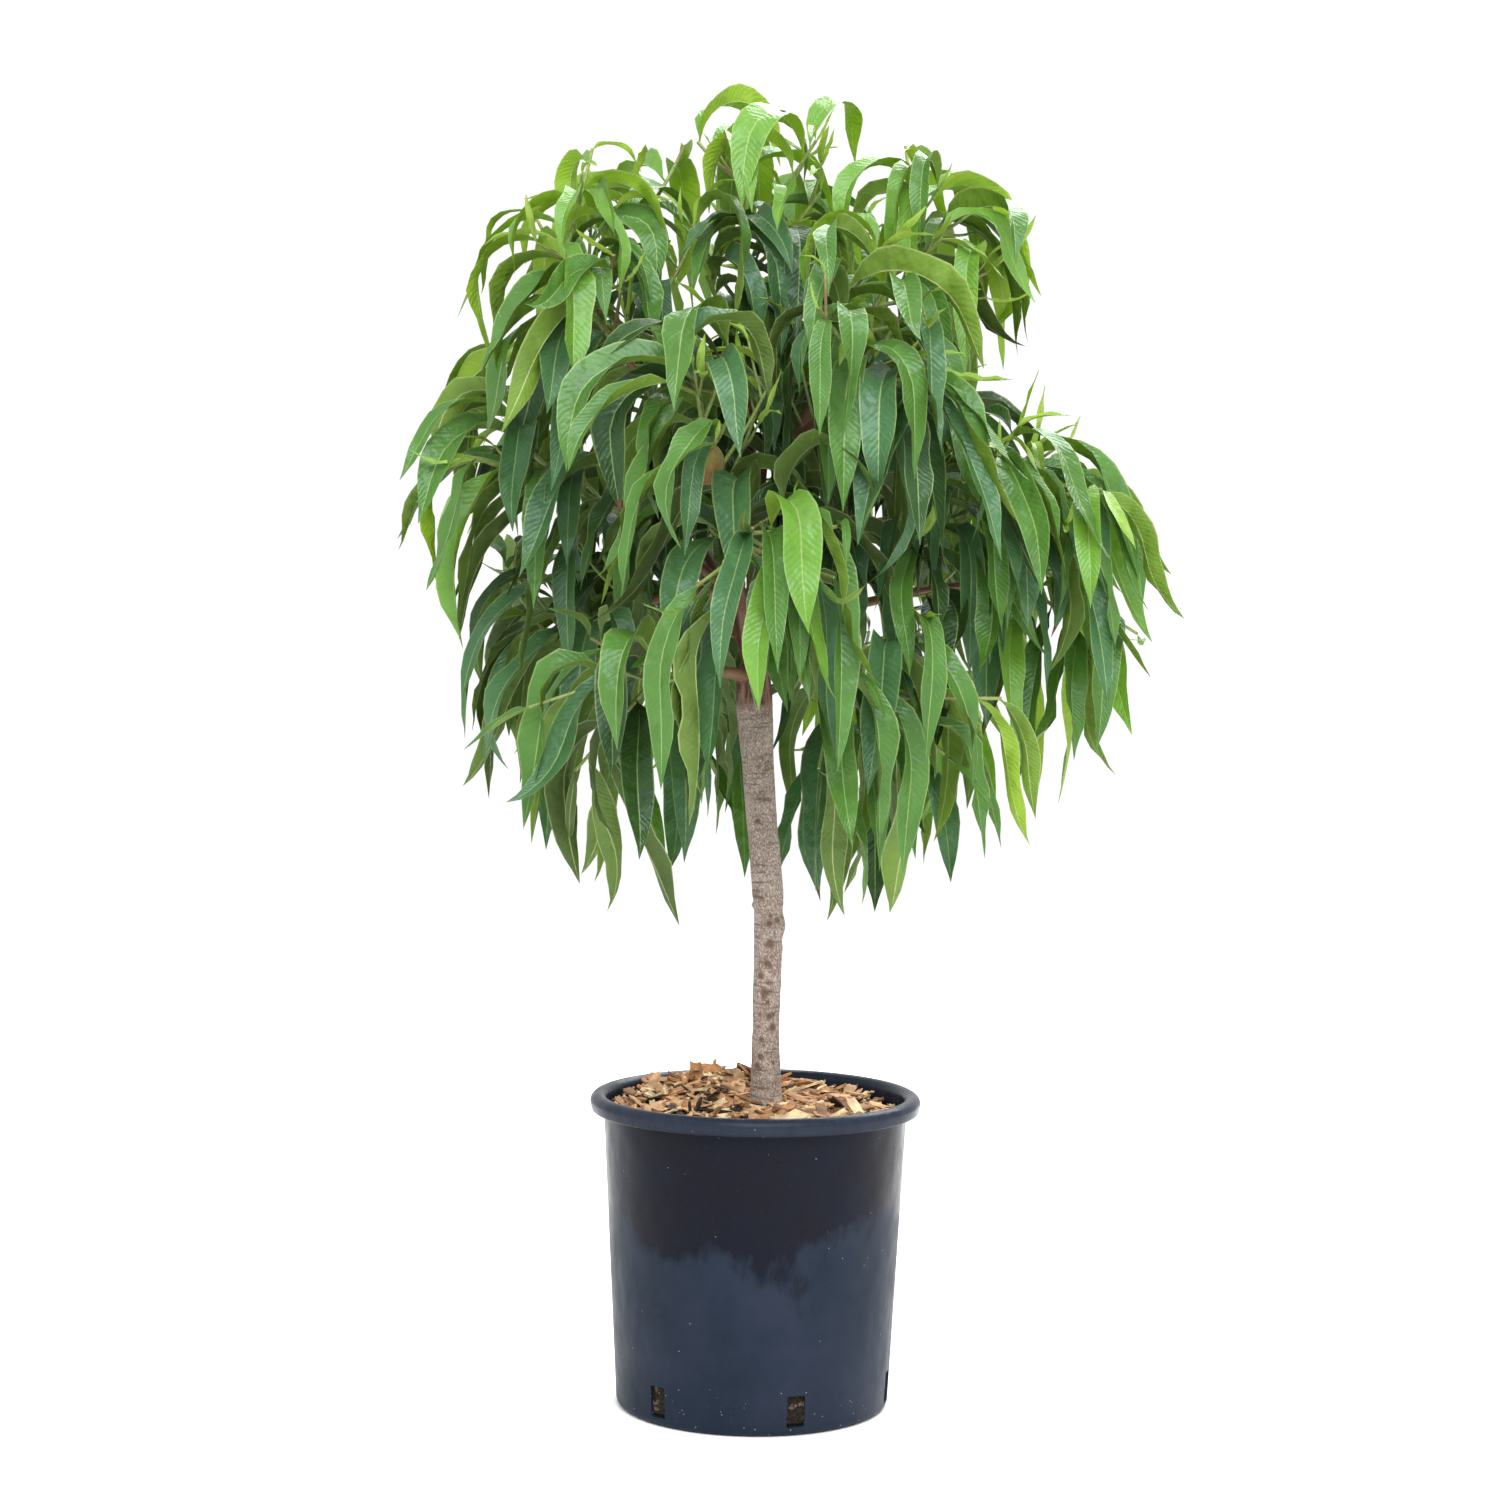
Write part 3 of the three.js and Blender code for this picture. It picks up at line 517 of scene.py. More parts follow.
def rods(name, lines, flats):
    """Tapering round rods, each along a line of points with a radius at each, closed at both ends."""
    curve = bpy.data.curves.new(name, "CURVE")
    curve.dimensions = "3D"
    curve.bevel_depth = 1
    curve.bevel_resolution = (flats - 4) // 2
    curve.use_fill_caps = True
    for points, radii in lines:
        spline = curve.splines.new("POLY")
        spline.points.add(len(points) - 1)
        spline.points.foreach_set("co", np.column_stack([points, np.ones(len(points))]).ravel())
        spline.points.foreach_set("radius", radii)
    mesh = evaluated(placed(name, curve))
    mesh.name = name
    mesh.shade_smooth()
    return mesh


def skin_of(mesh):
    """The points of a mesh's skin and the direction outwards at each."""
    return (values_of(mesh.vertices, key, 3, np.float32) for key in ("co", "normal"))


def wander(points):
    """A soft random height at each of some points."""
    return np.array([noise.noise(Vector(p)) for p in points])


def roughened(mesh, at, outward, raised):
    """Moves a mesh's skin outwards, by a height at each point."""
    mesh.vertices.foreach_set("co", (at + outward * raised[:, None]).ravel())
    mesh.update()


shares = np.linspace(0, 1, TRUNK_RINGS + 1)
trunk_points = np.array([trunk_point(share) for share in shares])
trunk_mesh = rods("trunk_bark", [(trunk_points, trunk_radius(shares))], TRUNK_SIDES)
at, outward = skin_of(trunk_mesh)
ridges = np.array([noise.fractal(Vector(p), 0.9, 2.2, 5) for p in at * RIDGES])
grain = wander(at * GRAIN)
lumps = wander(at * LUMPS)
raised = RIDGE_HEIGHT * ridges + GRAIN_HEIGHT * grain + LUMP_HEIGHT * lumps
middle = np.interp(at[:, 2], trunk_points[:, 2], trunk_points[:, 0])
turn = np.arctan2(at[:, 0] - middle, -at[:, 1])
scar_values = np.zeros(len(at))
rng = np.random.default_rng(SCAR_SEED)
small_scars = []
for _ in range(SMALL_SCARS):
    level, turned = rng.uniform(*SCARRED_PART), rng.uniform(-SMALL_SCAR_TURN, SMALL_SCAR_TURN)
    small_scars.append((level, turned, rng.uniform(*SMALL_SCAR_SIZE), SMALL_SCAR_DEPTH))
for level, degrees, width, depth in (*BUD_SCARS, *small_scars):
    across = (turn - math.radians(degrees) + math.pi) % math.tau - math.pi
    away = np.hypot(across * TRUNK_RADIUS, at[:, 2] - level) / width / SCAR_SPREAD
    raised += depth * np.exp(-3 * away**2) - SCAR_LIP * depth * np.exp(-9 * (away - 1) ** 2)
    if abs(degrees) < DARK_WITHIN:
        scar_values = np.maximum(scar_values, np.clip(3 * np.exp(-2.8 * away**2), 0, 1))
roughened(trunk_mesh, at, outward, raised)
trunk_mesh.attributes.new("scar", "FLOAT", "POINT").data.foreach_set("value", scar_values)

bark, tree, shader, place = finish_of("bark", roughness=0.82, specular=0.25)
height = add(tree, "SeparateXYZ", {0: place}).outputs["Z"]
broad = noisy(tree, place, 60, 4)
flecks = noisy(tree, stretched(tree, place, 1, 1, 0.75), 620, 3, 0.6)
wrinkles = noisy(tree, stretched(tree, place, 0.4, 0.4, 2.6), 110, 3)
streaks = noisy(tree, stretched(tree, place, 1, 1, 0.16), 240, 4)
grey = mixed(tree, ranged(tree, broad, 0.35, 0.65), (0.225, 0.17, 0.137), (0.34, 0.275, 0.235))
grey = mixed(tree, ranged(tree, flecks, 0.53, 0.63, 0, 0.8), grey, (0.52, 0.46, 0.41))
grey = mixed(tree, ranged(tree, flecks, 0.46, 0.36, 0, 0.75), grey, (0.11, 0.075, 0.058))
grey = mixed(tree, ranged(tree, wrinkles, 0.56, 0.66, 0, 0.75), grey, (0.11, 0.075, 0.058))
red = mixed(tree, ranged(tree, streaks, 0.38, 0.62), (0.075, 0.028, 0.022), (0.25, 0.155, 0.115))
border = plus(tree, height, streaks, 0.035)
above_graft = ranged(tree, border, GRAFT_HEIGHT + 0.012, GRAFT_HEIGHT + 0.022)
skin = mixed(tree, above_graft, grey, red)
scar = add(tree, "Attribute", attribute_name="scar").outputs["Fac"]
spotted = sums(tree, "MULTIPLY", scar, ranged(tree, flecks, 0.36, 0.58, 0.45, 1))
coloured(tree, shader, mixed(tree, spotted, skin, (0.10, 0.048, 0.034)))
rough = sums(tree, "SUBTRACT", sums(tree, "ADD", flecks, streaks), wrinkles)
bumped(tree, shader, rough, 0.5, 0.0012)

trunk = placed("trunk_with_bark", trunk_mesh, bark)
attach(trunk, "root")
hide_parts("trunk")


# ---------------------------------------------------------------- Boughs
# The main limbs of the grafted dwarf head. Each leaves the trunk or a thicker bough at a swollen collar,
# tapers outward and upward, and carries on as the stem of one mass of foliage. Their bark is smooth and
# red-brown, greener towards the tips.
BOUGH_ROOT = 0.48 * TRUNK_RADIUS
SIDE_BOUGH_ROOT = 0.37 * TRUNK_RADIUS
BOUGH_TIP = 0.23 * TRUNK_RADIUS
BOUGH_REACH = 0.52
BOUGH_STEP = 0.02
BOUGH_KNEE = 0.55
BOUGH_ARCH = 0.06
BOUGH_RINGS = 4
BOUGH_STEPS = 48
BOUGH_FLATS = 18
COLLAR = 1.35
COLLAR_LENGTH = 0.06
KNOT_HEIGHT, FINE_GRAIN_HEIGHT = 0.0006, 0.00018
KNOTS, FINE_GRAIN = 75, 300
MASSES = {
    # the tip of the main shoot in millimetres, the parent limb, the place on it, the lift of the twigs
    "top": ((-20, -10, 1242), "trunk", 0.99, 0.5),
    "upper_right": ((155, -60, 1200), "top", 0.4, 0.45),
    "upper_left": ((-132, 20, 1208), "trunk", 0.94, 0.45),
    "upper_back": ((25, 175, 1180), "top", 0.25, 0.45),
    "shoulder": ((-200, -110, 1143), "upper_left", 0.5, 0.3),
    "front": ((-65, -230, 1012), "trunk", 0.9, 0.35),
    "front_low": ((-10, -250, 868), "front", 0.5, 0.1),
    "front_right": ((100, -205, 1028), "upper_right", 0.3, 0.3),
    "right": ((255, -75, 945), "trunk", 0.93, 0.25),
    "left": ((-245, -20, 965), "upper_left", 0.2, 0.25),
    "far_right": ((290, 0, 838), "right", 0.3, 0.15),
    "far_left": ((-232, 35, 770), "left", 0.1, 0.15),
    "lower_left": ((-132, -170, 735), "trunk", 0.86, 0),
    "lower_right": ((135, -180, 712), "front", 0.2, 0),
    "back_right": ((165, 195, 990), "trunk", 0.95, 0.25),
    "back_left": ((-130, 210, 1000), "trunk", 0.91, 0.25),
    "low_back_left": ((-105, 205, 745), "back_left", 0.2, 0),
    "low_back_right": ((120, 205, 715), "back_right", 0.2, 0),
}
SPACE_SINK = 0.070
SPACE_SQUASH = np.array((1, 1, 0.5))
STEM_MARGIN = 0.008
CROWN_REACH = (
    # height, reach to the left, reach to the right
    (0.455, 0, 0),
    (0.480, 0.110, 0.160),
    (0.520, 0.215, 0.250),
    (0.600, 0.305, 0.320),
    (0.700, 0.315, 0.385),
    (0.860, 0.370, 0.424),
    (0.930, 0.360, 0.335),
    (1.060, 0.318, 0.285),
    (1.180, 0.280, 0.285),
    (1.235, 0.190, 0.195),
    (1.290, 0.090, 0.090),
    (1.308, 0, 0),
)
CROWN_DEPTH = 0.98
TIPS = {name: np.array(mass[0]) / 1000 for name, mass in MASSES.items()}
MIDDLES = {name: (tip - (0, 0, SPACE_SINK)) * SPACE_SQUASH for name, tip in TIPS.items()}


def in_space(name, points, margin):
    """True where all the points are nearer to this mass's middle than to any other's, by the margin."""
    at = points * SPACE_SQUASH
    here = MIDDLES[name]
    there = np.array([middle for other, middle in MIDDLES.items() if other != name])
    gain = ((at[..., None, :] - there) ** 2).sum(-1) - ((at - here) ** 2).sum(-1)[..., None]
    return (gain >= margin * 2 * np.linalg.norm(here - there, axis=1)).all((-1, -2))


def in_crown(points):
    """True where all the points are inside the crown's outline, which is round in plan."""
    levels, left, right = zip(*CROWN_REACH)
    left, right = (np.interp(points[..., 2], levels, reach) + 1e-9 for reach in (left, right))
    across = points[..., 0] / np.where(points[..., 0] < 0, left, right)
    deep = points[..., 1] / (CROWN_DEPTH * (left + right) / 2)
    return (across**2 + deep**2 < 1).all(-1)


def bent_line(start, knee, end):
    """A smooth bend from start to end, drawn towards the knee, as a function of the share along it."""
    return lambda t: (1 - t) ** 2 * start + 2 * (1 - t) * t * knee + t**2 * end


limbs = {"trunk": (trunk_point, trunk_points[::TRUNK_COARSE], trunk_radius(shares[::TRUNK_COARSE]))}
thick_lines = []
for name, (_, parent, place_on, _) in MASSES.items():
    start = limbs[parent][0](place_on)
    way = TIPS[name] - start
    reach = BOUGH_REACH
    while not in_space(name, (start + way * reach)[None], STEM_MARGIN):
        reach += BOUGH_STEP
    knee = start + way * reach * BOUGH_KNEE + (0, 0, np.linalg.norm(way) * BOUGH_ARCH)
    line = bent_line(start, knee, start + way * reach)
    root = BOUGH_ROOT if parent == "trunk" else SIDE_BOUGH_ROOT
    coarse = np.linspace(0, 1, BOUGH_RINGS + 1)
    limbs[name] = (line, np.array([line(t) for t in coarse]), root + (BOUGH_TIP - root) * coarse)
    fine = np.linspace(0, 1, BOUGH_STEPS + 1)
    radii = root + (BOUGH_TIP - root) * fine
    radii = radii * (1 + (COLLAR - 1) * np.exp(-fine / COLLAR_LENGTH))
    thick_lines.append((np.array([line(t) for t in fine]), radii))

bough_mesh = rods("boughs", thick_lines, BOUGH_FLATS)
at, outward = skin_of(bough_mesh)
knots = wander(at * KNOTS)
grain = np.array([noise.fractal(Vector(p), 0.8, 2.1, 3) for p in at * FINE_GRAIN])
roughened(bough_mesh, at, outward, KNOT_HEIGHT * knots + FINE_GRAIN_HEIGHT * grain)

young_bark, tree, shader, place = finish_of("young_bark", roughness=0.55, specular=0.4)
patches = noisy(tree, place, 26, 4)
dots = texture(tree, "Voronoi", place, 420).outputs["Distance"]
reddish = mixed(tree, ranged(tree, patches, 0.4, 0.6), (0.13, 0.045, 0.028), (0.20, 0.115, 0.055))
coloured(tree, shader, mixed(tree, ranged(tree, dots, 0.16, 0.1), reddish, (0.34, 0.24, 0.16)))
bumped(tree, shader, noisy(tree, place, 380, 3), 0.4, 0.0006)

boughs = placed("boughs_with_bark", bough_mesh, young_bark)
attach(boughs, "root")
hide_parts(*(f"bough_{name}" for name in MASSES))


# ---------------------------------------------------------------- Twigs
# The season's growth. A stem carries on from each bough's tip, side twigs branch off it in a spiral, and
# finer twigs branch off those. They are thin, smooth and olive green, flushed red on the older wood.
GAP = 0.0003
NEAR_END = 0.9999
STEM_CARRY = 0.5
STEM_RINGS = 3
TWIG_COUNT = 5
TWIG_FIRST, TWIG_LAST = 0.15, 0.86
TWIG_SPREAD = (45, 64)
TWIG_LENGTH = (0.070, 0.120)
TWIG_RINGS = 2
TWIG_MARGIN = 0.004
LIMB_CLEAR = 0.008
GOLDEN = 137.5
HEADINGS = (0, 30, -30, 60, -60, 90, -90, 120, -120, 150, -150, 180)
SEED = 12
SPUR_SEED = 1000
STEM_TIP = 0.0015
TWIG_ROOT, TWIG_TIP = 0.0022, 0.0016
SPUR_PLACES = (0.5, 0.85)
SPUR_SPREAD = (35, 60)
SPUR_LENGTH = (0.028, 0.060)
SPUR_ROOT, SPUR_TIP = 0.0016, 0.0012
INNER_SEED = 2000
INNER_PLACES = (0.5, 0.7, 0.88)
INNER_SPREAD = (50, 80)
INNER_LENGTH = (0.050, 0.095)
INNER_LIFT = 0.5


def random_stream(seed):
    """The growth rule's own numbers from 0 to 1, the same every time."""
    modulus, multiplier, spread, offset = 2**31 - 1, 16807, 7919, 17
    state = (seed * spread + offset) % modulus
    while True:
        state = state * multiplier % modulus
        yield state / modulus


def between(low, high, share):
    """A value at a share of the way from low to high."""
    return low + (high - low) * share


def unit(vector):
    """A vector's direction."""
    return vector / np.linalg.norm(vector)


def direction(axis, angle, turn):
    """A direction at an angle from an axis, turned round it."""
    side = unit(np.cross((0, 0, 1), axis))
    out = side * math.cos(turn) + np.cross(axis, side) * math.sin(turn)
    return unit(axis * math.cos(angle) + out * math.sin(angle))


def along(points, share):
    """The point at a share of a line of points, and the line's direction there."""
    last = len(points) - 2
    i = min(int(share * (last + 1)), last)
    way = points[i + 1] - points[i]
    return points[i] + way * (share * (last + 1) - i), unit(way)


def stretches(chosen):
    """The straight stretches of the chosen limbs: where each starts, where it leads and its radii."""
    lines, radii = zip(*chosen)
    starts = np.vstack([line[:-1] for line in lines])
    ways = np.vstack([np.diff(line, axis=0) for line in lines])
    return starts, ways, np.concatenate([r[:-1] for r in radii]), np.concatenate([r[1:] for r in radii])


def from_limbs(points, limb_stretches):
    """The least distance from any of the points to the skin of the limbs."""
    starts, ways, root, tip = limb_stretches
    away = np.atleast_2d(points)[:, None] - starts
    share = ((away * ways).sum(2) / (ways**2).sum(1)).clip(0, 1)
    return (np.linalg.norm(away - ways * share[..., None], axis=2) - between(root, tip, share)).min()


def twig_line(start, way, length, lift):
    """A twig: it starts along a direction and bends towards the sky as far as lift says."""
    points = [start]
    for _ in range(TWIG_RINGS):
        way = unit(way + (0, 0, lift / TWIG_RINGS))
        points.append(points[-1] + way * (length / TWIG_RINGS))
    return np.array(points)


def eased(points, steps):
    """The same line with its corners eased: a smooth curve through all its points."""
    ends = 2 * points[[0, -1]] - points[[1, -2]]
    marks = np.vstack([ends[0], points, ends[1]])
    t = np.linspace(0, 1, steps + 1)[:-1, None]
    spans = []
    for p0, p1, p2, p3 in zip(marks, marks[1:], marks[2:], marks[3:]):
        leave, arrive = (p2 - p0) / 2, (p3 - p1) / 2
        cubic = 2 * (p1 - p2) + leave + arrive
        spans.append(p1 + t * (leave + t * (3 * (p2 - p1) - 2 * leave - arrive + t * cubic)))
    return np.vstack([*spans, points[-1:]])


def twig_fits(name, line, others):
    """True if a twig keeps to its mass's space and the crown, and clear of the other limbs."""
    return in_space(name, line, TWIG_MARGIN) and in_crown(line) and from_limbs(line, others) > LIMB_CLEAR


def shoots_off(line, share, order, draws, spreads, lengths, lift):
    """A shoot off a line, with its own turn, spread and length, tried at one heading after another."""
    point, way = along(line, share)
    turn = GOLDEN * order + 360 * next(draws)
    spread = math.radians(between(*spreads, next(draws)))
    length = between(*lengths, next(draws))
    return (twig_line(point, direction(way, spread, math.radians(turn + h)), length, lift) for h in HEADINGS)


def all_but(name):
    """The stretches of every limb but the one that leads to this mass."""
    return stretches([limb[1:] for other, limb in limbs.items() if other != name])


every_limb = all_but(None)
twigs = {}
streams = {}
furthest = {}
for number, (name, (_, _, _, lift)) in enumerate(MASSES.items()):
    draws = streams[name] = random_stream(SEED + number)
    others = all_but(name)
    line = limbs[name][0]
    ahead = unit(line(1) - line(NEAR_END))
    start = line(1) + ahead * GAP
    knee = start + ahead * np.linalg.norm(TIPS[name] - start) * STEM_CARRY
    bend = bent_line(start, knee, TIPS[name])
    stem = np.array([bend(i / STEM_RINGS) for i in range(STEM_RINGS + 1)])
    twigs[name] = [stem]
    for i in range(TWIG_COUNT):
        share = between(TWIG_FIRST, TWIG_LAST, i / (TWIG_COUNT - 1))
        tries = shoots_off(stem, share, i, draws, TWIG_SPREAD, TWIG_LENGTH, lift)
        twigs[name] += itertools.islice((one for one in tries if twig_fits(name, one, others)), 1)

spurs = {}
for number, (name, (_, _, _, lift)) in enumerate(MASSES.items()):
    draws = streams[name + "_spurs"] = random_stream(SPUR_SEED + number)
    spurs[name] = []
    for k, place_on in itertools.product(range(len(twigs[name])), SPUR_PLACES if lift else SPUR_PLACES[:1]):
        order = len(spurs[name])
        spur = next(shoots_off(twigs[name][k], place_on, order, draws, SPUR_SPREAD, SPUR_LENGTH, lift))
        if twig_fits(name, spur, every_limb):
            spurs[name].append(spur)
            furthest[name, k] = place_on

# The inner shoots leave the boughs themselves, between one mass of foliage and the next.
inner = {}
for number, name in enumerate(MASSES):
    draws = streams[name + "_inner"] = random_stream(INNER_SEED + number)
    others = all_but(name)
    inner[name] = []
    for k, place_on in enumerate(INNER_PLACES):
        tries = shoots_off(limbs[name][1], place_on, k, draws, INNER_SPREAD, INNER_LENGTH, INNER_LIFT)
        fitting = (one for one in tries if in_crown(one) and from_limbs(one, others) > LIMB_CLEAR)
        inner[name] += itertools.islice(fitting, 1)


# ---------------------------------------------------------------- Fruit
# One young peach, which hangs close under its twig on the left of the crown, half behind the leaves. It is
# downy, yellow-green and flushed orange-brown, with a seam down one side.
PEACH_NEAR = (-0.105, -0.215, 0.895)
PEACH_RADIUS = 0.0175
PEACH_LENGTH = 1.14
PEACH_PIT = 0.22
PEACH_SEAM = 0.07
PEACH_CLEAR = 0.0245
PEACH_PLACES = (0.35, 0.55, 0.75)
PEACH_HANG = 0.95
PIT_WIDTH, SEAM_WIDTH = 0.28, 0.22

choices = []
for name in MASSES:
    for k, line in enumerate(twigs[name] + spurs[name]):
        for share in PEACH_PLACES:
            choices.append((math.dist(along(line, share)[0], PEACH_NEAR), name, k, share))
_, name, k, share = min(choices)
furthest[name, k] = max(furthest.get((name, k), 0), share)
peach_middle = along((twigs[name] + spurs[name])[k], share)[0] - (0, 0, PEACH_RADIUS * PEACH_HANG)
bm = bmesh.new()
bmesh.ops.create_uvsphere(bm, u_segments=40, v_segments=24, radius=1)
for v in bm.verts:
    away = math.hypot(v.co.x, v.co.y)
    seam = PEACH_SEAM * math.exp(-(math.atan2(v.co.x, -v.co.y) / SEAM_WIDTH) ** 2) * away
    pit = PEACH_PIT * math.exp(-((away / PIT_WIDTH) ** 2)) * (v.co.z > 0)
    v.co *= 1 - seam
    v.co.z = (v.co.z - pit) * PEACH_LENGTH
    v.co = v.co * PEACH_RADIUS + Vector(peach_middle)
peach_mesh = mesh_of(bm, "peach")
peach_mesh.shade_smooth()

peach_skin, tree, shader, place = finish_of("peach_skin", roughness=0.7, specular=0.25)
blush = noisy(tree, place, 55, 4)
down = noisy(tree, place, 900, 2)
flushed = mixed(tree, ranged(tree, blush, 0.42, 0.60), (0.19, 0.165, 0.04), (0.21, 0.075, 0.02))
coloured(tree, shader, mixed(tree, ranged(tree, down, 0.5, 0.7, 0, 0.25), flushed, (0.42, 0.33, 0.17)))
shader.inputs["Sheen Weight"].default_value = 0.15
peach = placed("young_peach", peach_mesh, peach_skin)
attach(peach, "root")


# ---------------------------------------------------------------- Places of the leaves
# Leaves sit in a spiral on every twig, each on a short stalk. A leaf turns round its twig towards open space,
# and stays small or is never formed where others crowd it. Buds at the tips open into short upright leaves.
LEAF_PITCH = 0.0235
LEAF_CROWD = 0.85
LEAF_BARE = 0.22
LEAF_LENGTH = (0.87 * 0.205, 1.13 * 0.205)
LEAF_SHRINK = 0.86
LEAF_WIDTH = 0.2
LEAF_SPLAY = (72, 46)
LEAF_WANDER = 43
LEAF_HANG = (-96, -60)
LEAF_BEND = (0.35, 0.80)
LEAF_STIFF = 0.75
LEAF_CURL = 34
LEAF_ROLL = 40
LEAF_MARGIN = 0.0006
LEAF_SUNK = 0.001
LEAF_CREASE = 0.16
LEAF_THICK = 0.012
YOUNG_LENGTH = 0.42
YOUNG_HANG = (-60, 40)
LEAF_SIZES = (1, 0.85, 0.7)
ROSETTE_SIZES = (1, 0.9)
TRUNK_GAP = 0.034
TRUNK_GAP_TOP = 0.700
ROSETTE = (0.90, 0.94, 0.97)
SPUR_ROSETTE = (0.4, 0.6, 0.8, 0.95)
ROSETTE_LENGTH = 1.04
BUDS = 3
BUD_LIFT = 0.2
BUD_SPLAY = (6, 30)
BUD_LENGTH = (0.18, 0.42)
BUD_HANG = (-10, 85)
PLATE_STEPS = (0, 3, 7, 12)
PLATE_SHAPE = (0, 0.9, 1, 0)
PLATE_PATCHES = 4
FLICK_START = 0.55


def pierces(edges, faces):
    """True if one of the edges passes through one of the faces."""
    start, way = edges[:, None, 0], edges[:, None, 1] - edges[:, None, 0]
    a, side, other = faces[:, 0], faces[:, 1] - faces[:, 0], faces[:, 2] - faces[:, 0]
    cross = np.cross(way, other)
    det = (cross * side).sum(-1)
    det = np.where(np.abs(det) < 1e-15, np.nan, det)
    off = start - a
    u = (off * cross).sum(-1) / det
    turned = np.cross(off, side)
    v = (way * turned).sum(-1) / det
    t = (other * turned).sum(-1) / det
    return bool(((u >= 0) & (v >= 0) & (u + v <= 1) & (t >= 0) & (t < 1)).any())


def ribs_of(root, stalk, length, hang, bend, curl, roll, share, lag=0.0, sway=0.0, tilt=0.0, flick=0.0):
    """Points along midribs, with the direction across and up at each. The last axis but one is the share."""
    heading = np.arctan2(stalk[..., 0], -stalk[..., 1])[..., None]
    pitch = np.arcsin(stalk[..., 2].clip(-1, 1))[..., None]
    hang, bend, curl, roll, sway, tilt, flick = (
        np.asarray(v)[..., None] for v in (hang, bend, curl, roll, sway, tilt, flick)
    )
    lean = between(pitch, hang, (np.maximum(share - lag, 0) / bend).clip(0, 1))
    lean = lean + flick * np.maximum(share - FLICK_START, 0) / (1 - FLICK_START)
    turn = heading + curl * share + sway * np.sin(math.tau * share)
    level = np.cos(lean)
    ahead = np.stack([np.sin(turn) * level, -np.cos(turn) * level, np.sin(lean)], -1)
    side = np.stack([np.cos(turn), np.sin(turn), np.zeros_like(turn)], -1)
    rolled = (roll * share + tilt)[..., None]
    side = side * np.cos(rolled) + np.cross(ahead, side) * np.sin(rolled)
    steps = ahead[..., :-1, :] * (np.diff(share)[:, None] * np.asarray(length)[..., None, None])
    start = (root - stalk * LEAF_SUNK)[..., None, :]
    points = start + np.concatenate([np.zeros_like(start), np.cumsum(steps, -2)], -2)
    return points, side, np.cross(ahead, side)


def plates_of(leaf, stalk):
    """A leaf on each of some stalks, as a few flat faces: outline, faces and edges, and spots all over it."""
    leaf = leaf | {"stalk": stalk}
    names = ("root", "stalk", "length", "hang", "bend", "curl", "roll")
    points, side, up = ribs_of(*(leaf[name] for name in names), np.linspace(0, 1, PLATE_STEPS[-1] + 1))
    pairs = []
    for step, shape in zip(PLATE_STEPS, PLATE_SHAPE):
        half = shape * LEAF_WIDTH * leaf["length"] / 2
        middle = points[:, step] + up[:, step] * half * LEAF_CREASE
        pairs.append((middle + side[:, step] * half, middle - side[:, step] * half))
    (root, _), (a, b), (c, d), (tip, _) = pairs
    faces = np.array([(root, b, a), (a, b, d), (a, d, c), (c, d, tip)])
    edges = np.array([(a, b), (c, d), (root, a), (root, b), (a, c), (b, d), (c, tip), (d, tip)])
    spots = []
    for i, (low, high) in enumerate(itertools.pairwise(pairs)):
        for k in range(PLATE_PATCHES // 2 if i == 0 else 0, PLATE_PATCHES + 1):
            left, right = (between(low[s], high[s], k / PLATE_PATCHES) for s in (0, 1))
            spots += [left, right, (left + right) / 2]
    keels = [points[:, step] - up[:, step] * LEAF_THICK * leaf["length"] for step in PLATE_STEPS[1:3]]
    outline = np.stack([root, a, b, c, d, tip, *keels], 1)
    faces, edges = np.moveaxis(faces, 2, 0), np.moveaxis(edges, 2, 0)
    return {"stalk": stalk, "outline": outline, "faces": faces, "edges": edges, "spots": np.stack(spots, 1),
            "low": outline.min(1), "high": outline.max(1)}


def leaf_at(line, share, lift, is_young, draws):
    """One leaf at a share of a twig, with its own length, droop, bend, curl and roll."""
    point, way = along(line, share)
    long, drooping, bent, curled, rolled, turned = itertools.islice(draws, 6)
    shorter = YOUNG_LENGTH if is_young else between(1, LEAF_SHRINK, share)
    return {
        "root": point,
        "way": way,
        "share": share,
        "splay": math.radians(between(*LEAF_SPLAY, share)),
        "turn": LEAF_WANDER * turned,
        "length": between(*LEAF_LENGTH, long) * shorter,
        "hang": math.radians(between(*(YOUNG_HANG if is_young else LEAF_HANG), drooping)),
        "bend": between(*LEAF_BEND, bent) * (LEAF_STIFF + lift),
        "curl": math.radians(between(-LEAF_CURL, LEAF_CURL, curled)),
        "roll": math.radians(between(-LEAF_ROLL, LEAF_ROLL, rolled)),
        "young": is_young,
    }


def hides_trunk(spots):
    """True where a leaf would hang before the clear stem, where the foliage parts."""
    low = (spots[..., 2] < TRUNK_GAP_TOP) & (spots[..., 1] < 0)
    return (low & (np.abs(spots[..., 0]) < TRUNK_GAP)).any(-1)


def meets(plate, kept):
    """True if a leaf cuts one of the kept leaves."""
    if not kept:
        return False
    lows, highs = (np.array([other[key] for other in kept]) for key in ("low", "high"))
    close = np.flatnonzero(((plate["low"] <= highs) & (lows <= plate["high"])).all(1))
    if not len(close):
        return False
    edges, faces = (np.concatenate([kept[i][key] for i in close]) for key in ("edges", "faces"))
    return pierces(plate["edges"], faces) or pierces(edges, plate["faces"])


